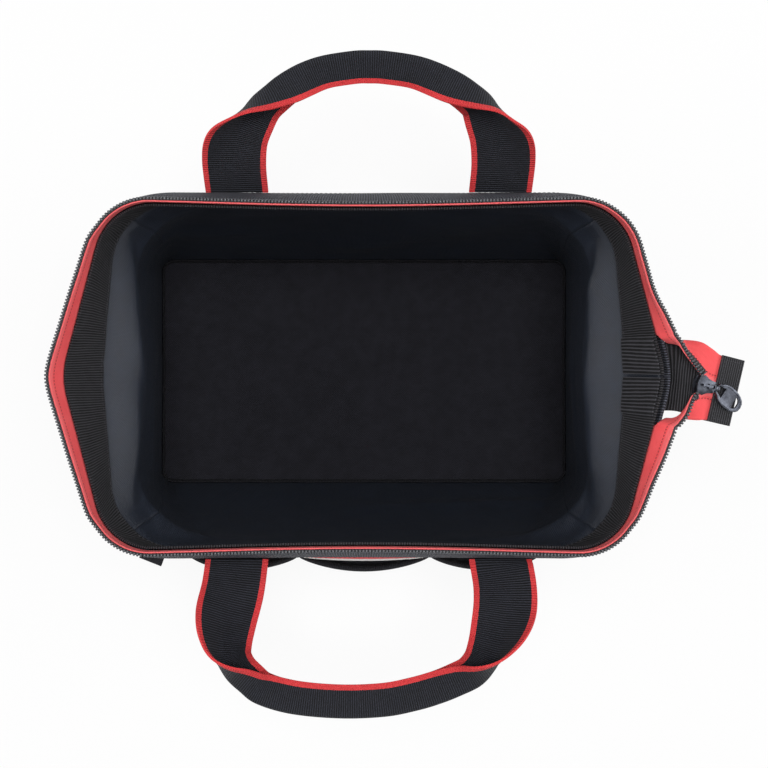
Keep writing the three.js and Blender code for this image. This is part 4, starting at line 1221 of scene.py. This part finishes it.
add_piece(
    "front_left_web_tab", laid_grid(40, 12, corner_tab_lay), NARROW_WEBBING, ["front_left_tab"],
    thickness=1.1, rounded=0.25,
)
print("tab done")

# %% [markdown]
# ## Stitching
#
# Thread is what tells the eye that these sheets are sewn. One stitch is a small stretched ball
# half sunk in the cloth, and a row of them follows a line at an even pitch. The rows run along
# both edges of the bands, down the corner seams, round the feet and along the pocket.

# %% Stitches
bead = bmesh.new()
bmesh.ops.create_icosphere(bead, subdivisions=1, radius=0.5)
stitch = mesh_of("stitch", bead)


def stitch_rows(name, rows, pitch=3.0, radius=0.42):
    """Rows of stitches. Each row has a function that gives a point and its normal for a share,
    the number of steps to measure it in, and what else the function takes."""
    thread = bmesh.new()
    count = 0
    for row, steps, *more in rows:
        points = [row(i / steps, *more) for i in range(steps + 1)]
        run = running_length([point for point, _ in points])
        number = max(int(run[-1] / pitch), 1)
        for i in range(number):
            index, share = place_at(run, run[-1] * (i + 0.5) / number)
            (p0, n0), (p1, n1) = points[index], points[index + 1]
            along, normal = (p1 - p0).normalized(), n0.lerp(n1, share).normalized()
            matrix = set_in(p0.lerp(p1, share), along, normal.cross(along).normalized(), normal)
            size = Matrix.Diagonal((pitch * 0.78, radius * 1.7, radius * 1.2, 1))
            merge_into(thread, stitch, matrix @ size)
        count += number
    add_piece(name, thread, DARK_THREAD)
    print(name, count, "stitches")


def ring(corners):
    """The sides of a closed figure, as pairs of corners."""
    return list(zip(corners, corners[1:] + corners[:1]))


def band_row(share, z, distance, start=0, end=40, facing=1):
    place = mix(start, end, share)
    return skin(place, z, distance), outward(z, place) * facing


stitch_rows("outer_band_stitches", [(band_row, 480, 219.2, 1.65), (band_row, 480, 189.6, 2.25)])
stitch_rows("inner_band_stitches", [
    (band_row, 480, z, depth, 39.9, 0.1, -1) for z, depth in ((219.2, -3.85), (188.6, -4.55))
])


# %% Stitches on feet, pocket and patch
def wall_line(share, start, end, side, gap):
    """A straight line of stitches on a long side, between two places (x, z)."""
    x, z = (mix(first, last, share) for first, last in zip(start, end))
    return long_side(x, z, side, gap), Vector((0, side, 0))


# a crossed box on each foot, and below it two lines on the long feet of the back
foot_rows = []
for side, low, high in ((1, 150, 175), (-1, 156, 182)):
    for way in (-1, 1):
        centre = HANDLE_X + way * SPACING
        left, right = centre - 14, centre + 14
        corners = [(left, high), (right, high), (right, low), (left, low)]
        lines = ring(corners) + [(corners[0], corners[2]), (corners[1], corners[3])]
        if side > 0:
            lines += [((x, 146), (x, 8.5)) for x in (left, right)]
        foot_rows += [(wall_line, 24, a, b, side, 2.45) for a, b in lines]
stitch_rows("foot_stitches", foot_rows, 3.2)


def pocket_row(share, z, gap):
    x = mix(-121, 121, share)
    return long_side(x, z, -1, pocket_gap(x, z) + gap), Vector((0, -1, 0))


pocket_rows = [(pocket_row, 160, 144.2, 2.35), (pocket_row, 90, 24.5, 1.3)]
for seam in SEAMS:
    x = min(max(seam, -120.6), 120.6)
    pocket_rows.append((wall_line, 60, (x, 23), (x, 141), -1, 2.1))
    if seam not in (SEAMS[0], SEAMS[-1]):
        pocket_rows.append((wall_line, 60, (x - 3, 23), (x - 3, 141), -1, 2.6))
stitch_rows("pocket_stitches", pocket_rows)
patch_corners = [(-42.6, 155.4), (42.6, 155.4), (42.6, 182.6), (-42.6, 182.6)]
patch_rows = [(wall_line, 30, a, b, -1, 1.35) for a, b in ring(patch_corners)]
stitch_rows("patch_stitches", patch_rows, 2.4, radius=0.3)


# %% Stitches on corner seams and tail
def seam_row(share, place, shift):
    z = mix(4, 184, share)
    step = (outline(z, place + 0.1) - outline(z, place - 0.1)).length / 0.2
    return skin(place + shift / step, z, 0.1), outward(z, place)


def tail_line(share, start, end):
    x, y = (mix(first, last, share) for first, last in zip(start, end))
    return tail_point(x, y, 2.2), tail_frame.to_3x3() @ Vector((0, 0, 1))


seam_rows = [(seam_row, 80, start, shift) for start, _ in PANELS.values() for shift in (-4.5, 4.5)]
stitch_rows("corner_stitches", seam_rows, 3.2)
cap_corners = [(8.6, -18), (20.4, -18), (20.4, 18), (8.6, 18)]
stitch_rows("cap_stitches", [(tail_line, 12, a, b) for a, b in ring(cap_corners)], 2.6)

# %% [markdown]
# ## Stage and light
#
# A white floor and soft light from a large overhead panel, as in a product photograph. The floor
# shows the camera a white that is nearly independent of the light, and keeps a faint shadow. The
# surroundings are dim as a light, but bright where the camera sees them, also as a reflection.

# %% Stage
def stage_finish():
    paint = Paint("stage", roughness=0.9, base_color=(0.92, 0.92, 0.92, 1))
    plain = Signal(paint, paint.shader.outputs[0])
    glow = paint.add("ShaderNodeEmission", {}, {"Color": WHITE})
    both = paint.add("ShaderNodeMixShader", {}, {0: paint.looked_at() * 0.86, 1: plain, 2: glow})
    paint.feed(paint.tree.nodes["Material Output"].inputs[0], both)
    return paint.material


ground = bmesh.new()
bmesh.ops.create_grid(ground, x_segments=1, y_segments=1, size=3)
ground_mesh = mesh_of("stage_floor", ground)
ground_mesh.materials.append(stage_finish())
in_scene("stage_floor", ground_mesh, (0, 0, -0.0006))


# %% Lights
def soft_panel(name, place, aim, size, power):
    """A lamp with a soft light, in metres and watts."""
    light = bpy.data.lights.new(name, "AREA")
    light.shape, light.size, light.size_y, light.energy = "RECTANGLE", size[0], size[1], power
    lamp = in_scene(name, light, place)
    lamp.rotation_euler = (Vector(aim) - Vector(place)).to_track_quat("-Z", "Y").to_euler()


soft_panel("overhead", (0.05, 0.15, 1.8), (0, 0, 0.1), (0.7, 0.5), 16)
soft_panel("left_fill", (-1.5, -0.1, 0.95), (0, 0, 0.2), (0.9, 0.7), 11)
soft_panel("right_fill", (1.5, 0.1, 0.95), (0, 0, 0.2), (0.9, 0.7), 11)
world = bpy.data.worlds.new("Studio")
bpy.context.scene.world = world
world.use_nodes = True
sky = Nodes(world.node_tree)
dim = sky.tree.nodes["Background"]
sky.feed(dim.inputs["Color"], WHITE)
sky.feed(dim.inputs["Strength"], 0.25)
bright = sky.add("ShaderNodeBackground", {}, {"Color": WHITE, "Strength": 1})
layers = {0: sky.looked_at(), 1: Signal(sky, dim.outputs[0]), 2: bright}
sky.feed(sky.tree.nodes["World Output"].inputs[0], sky.add("ShaderNodeMixShader", {}, layers))
bpy.context.scene.view_settings.view_transform = "Standard"
print("lights set")
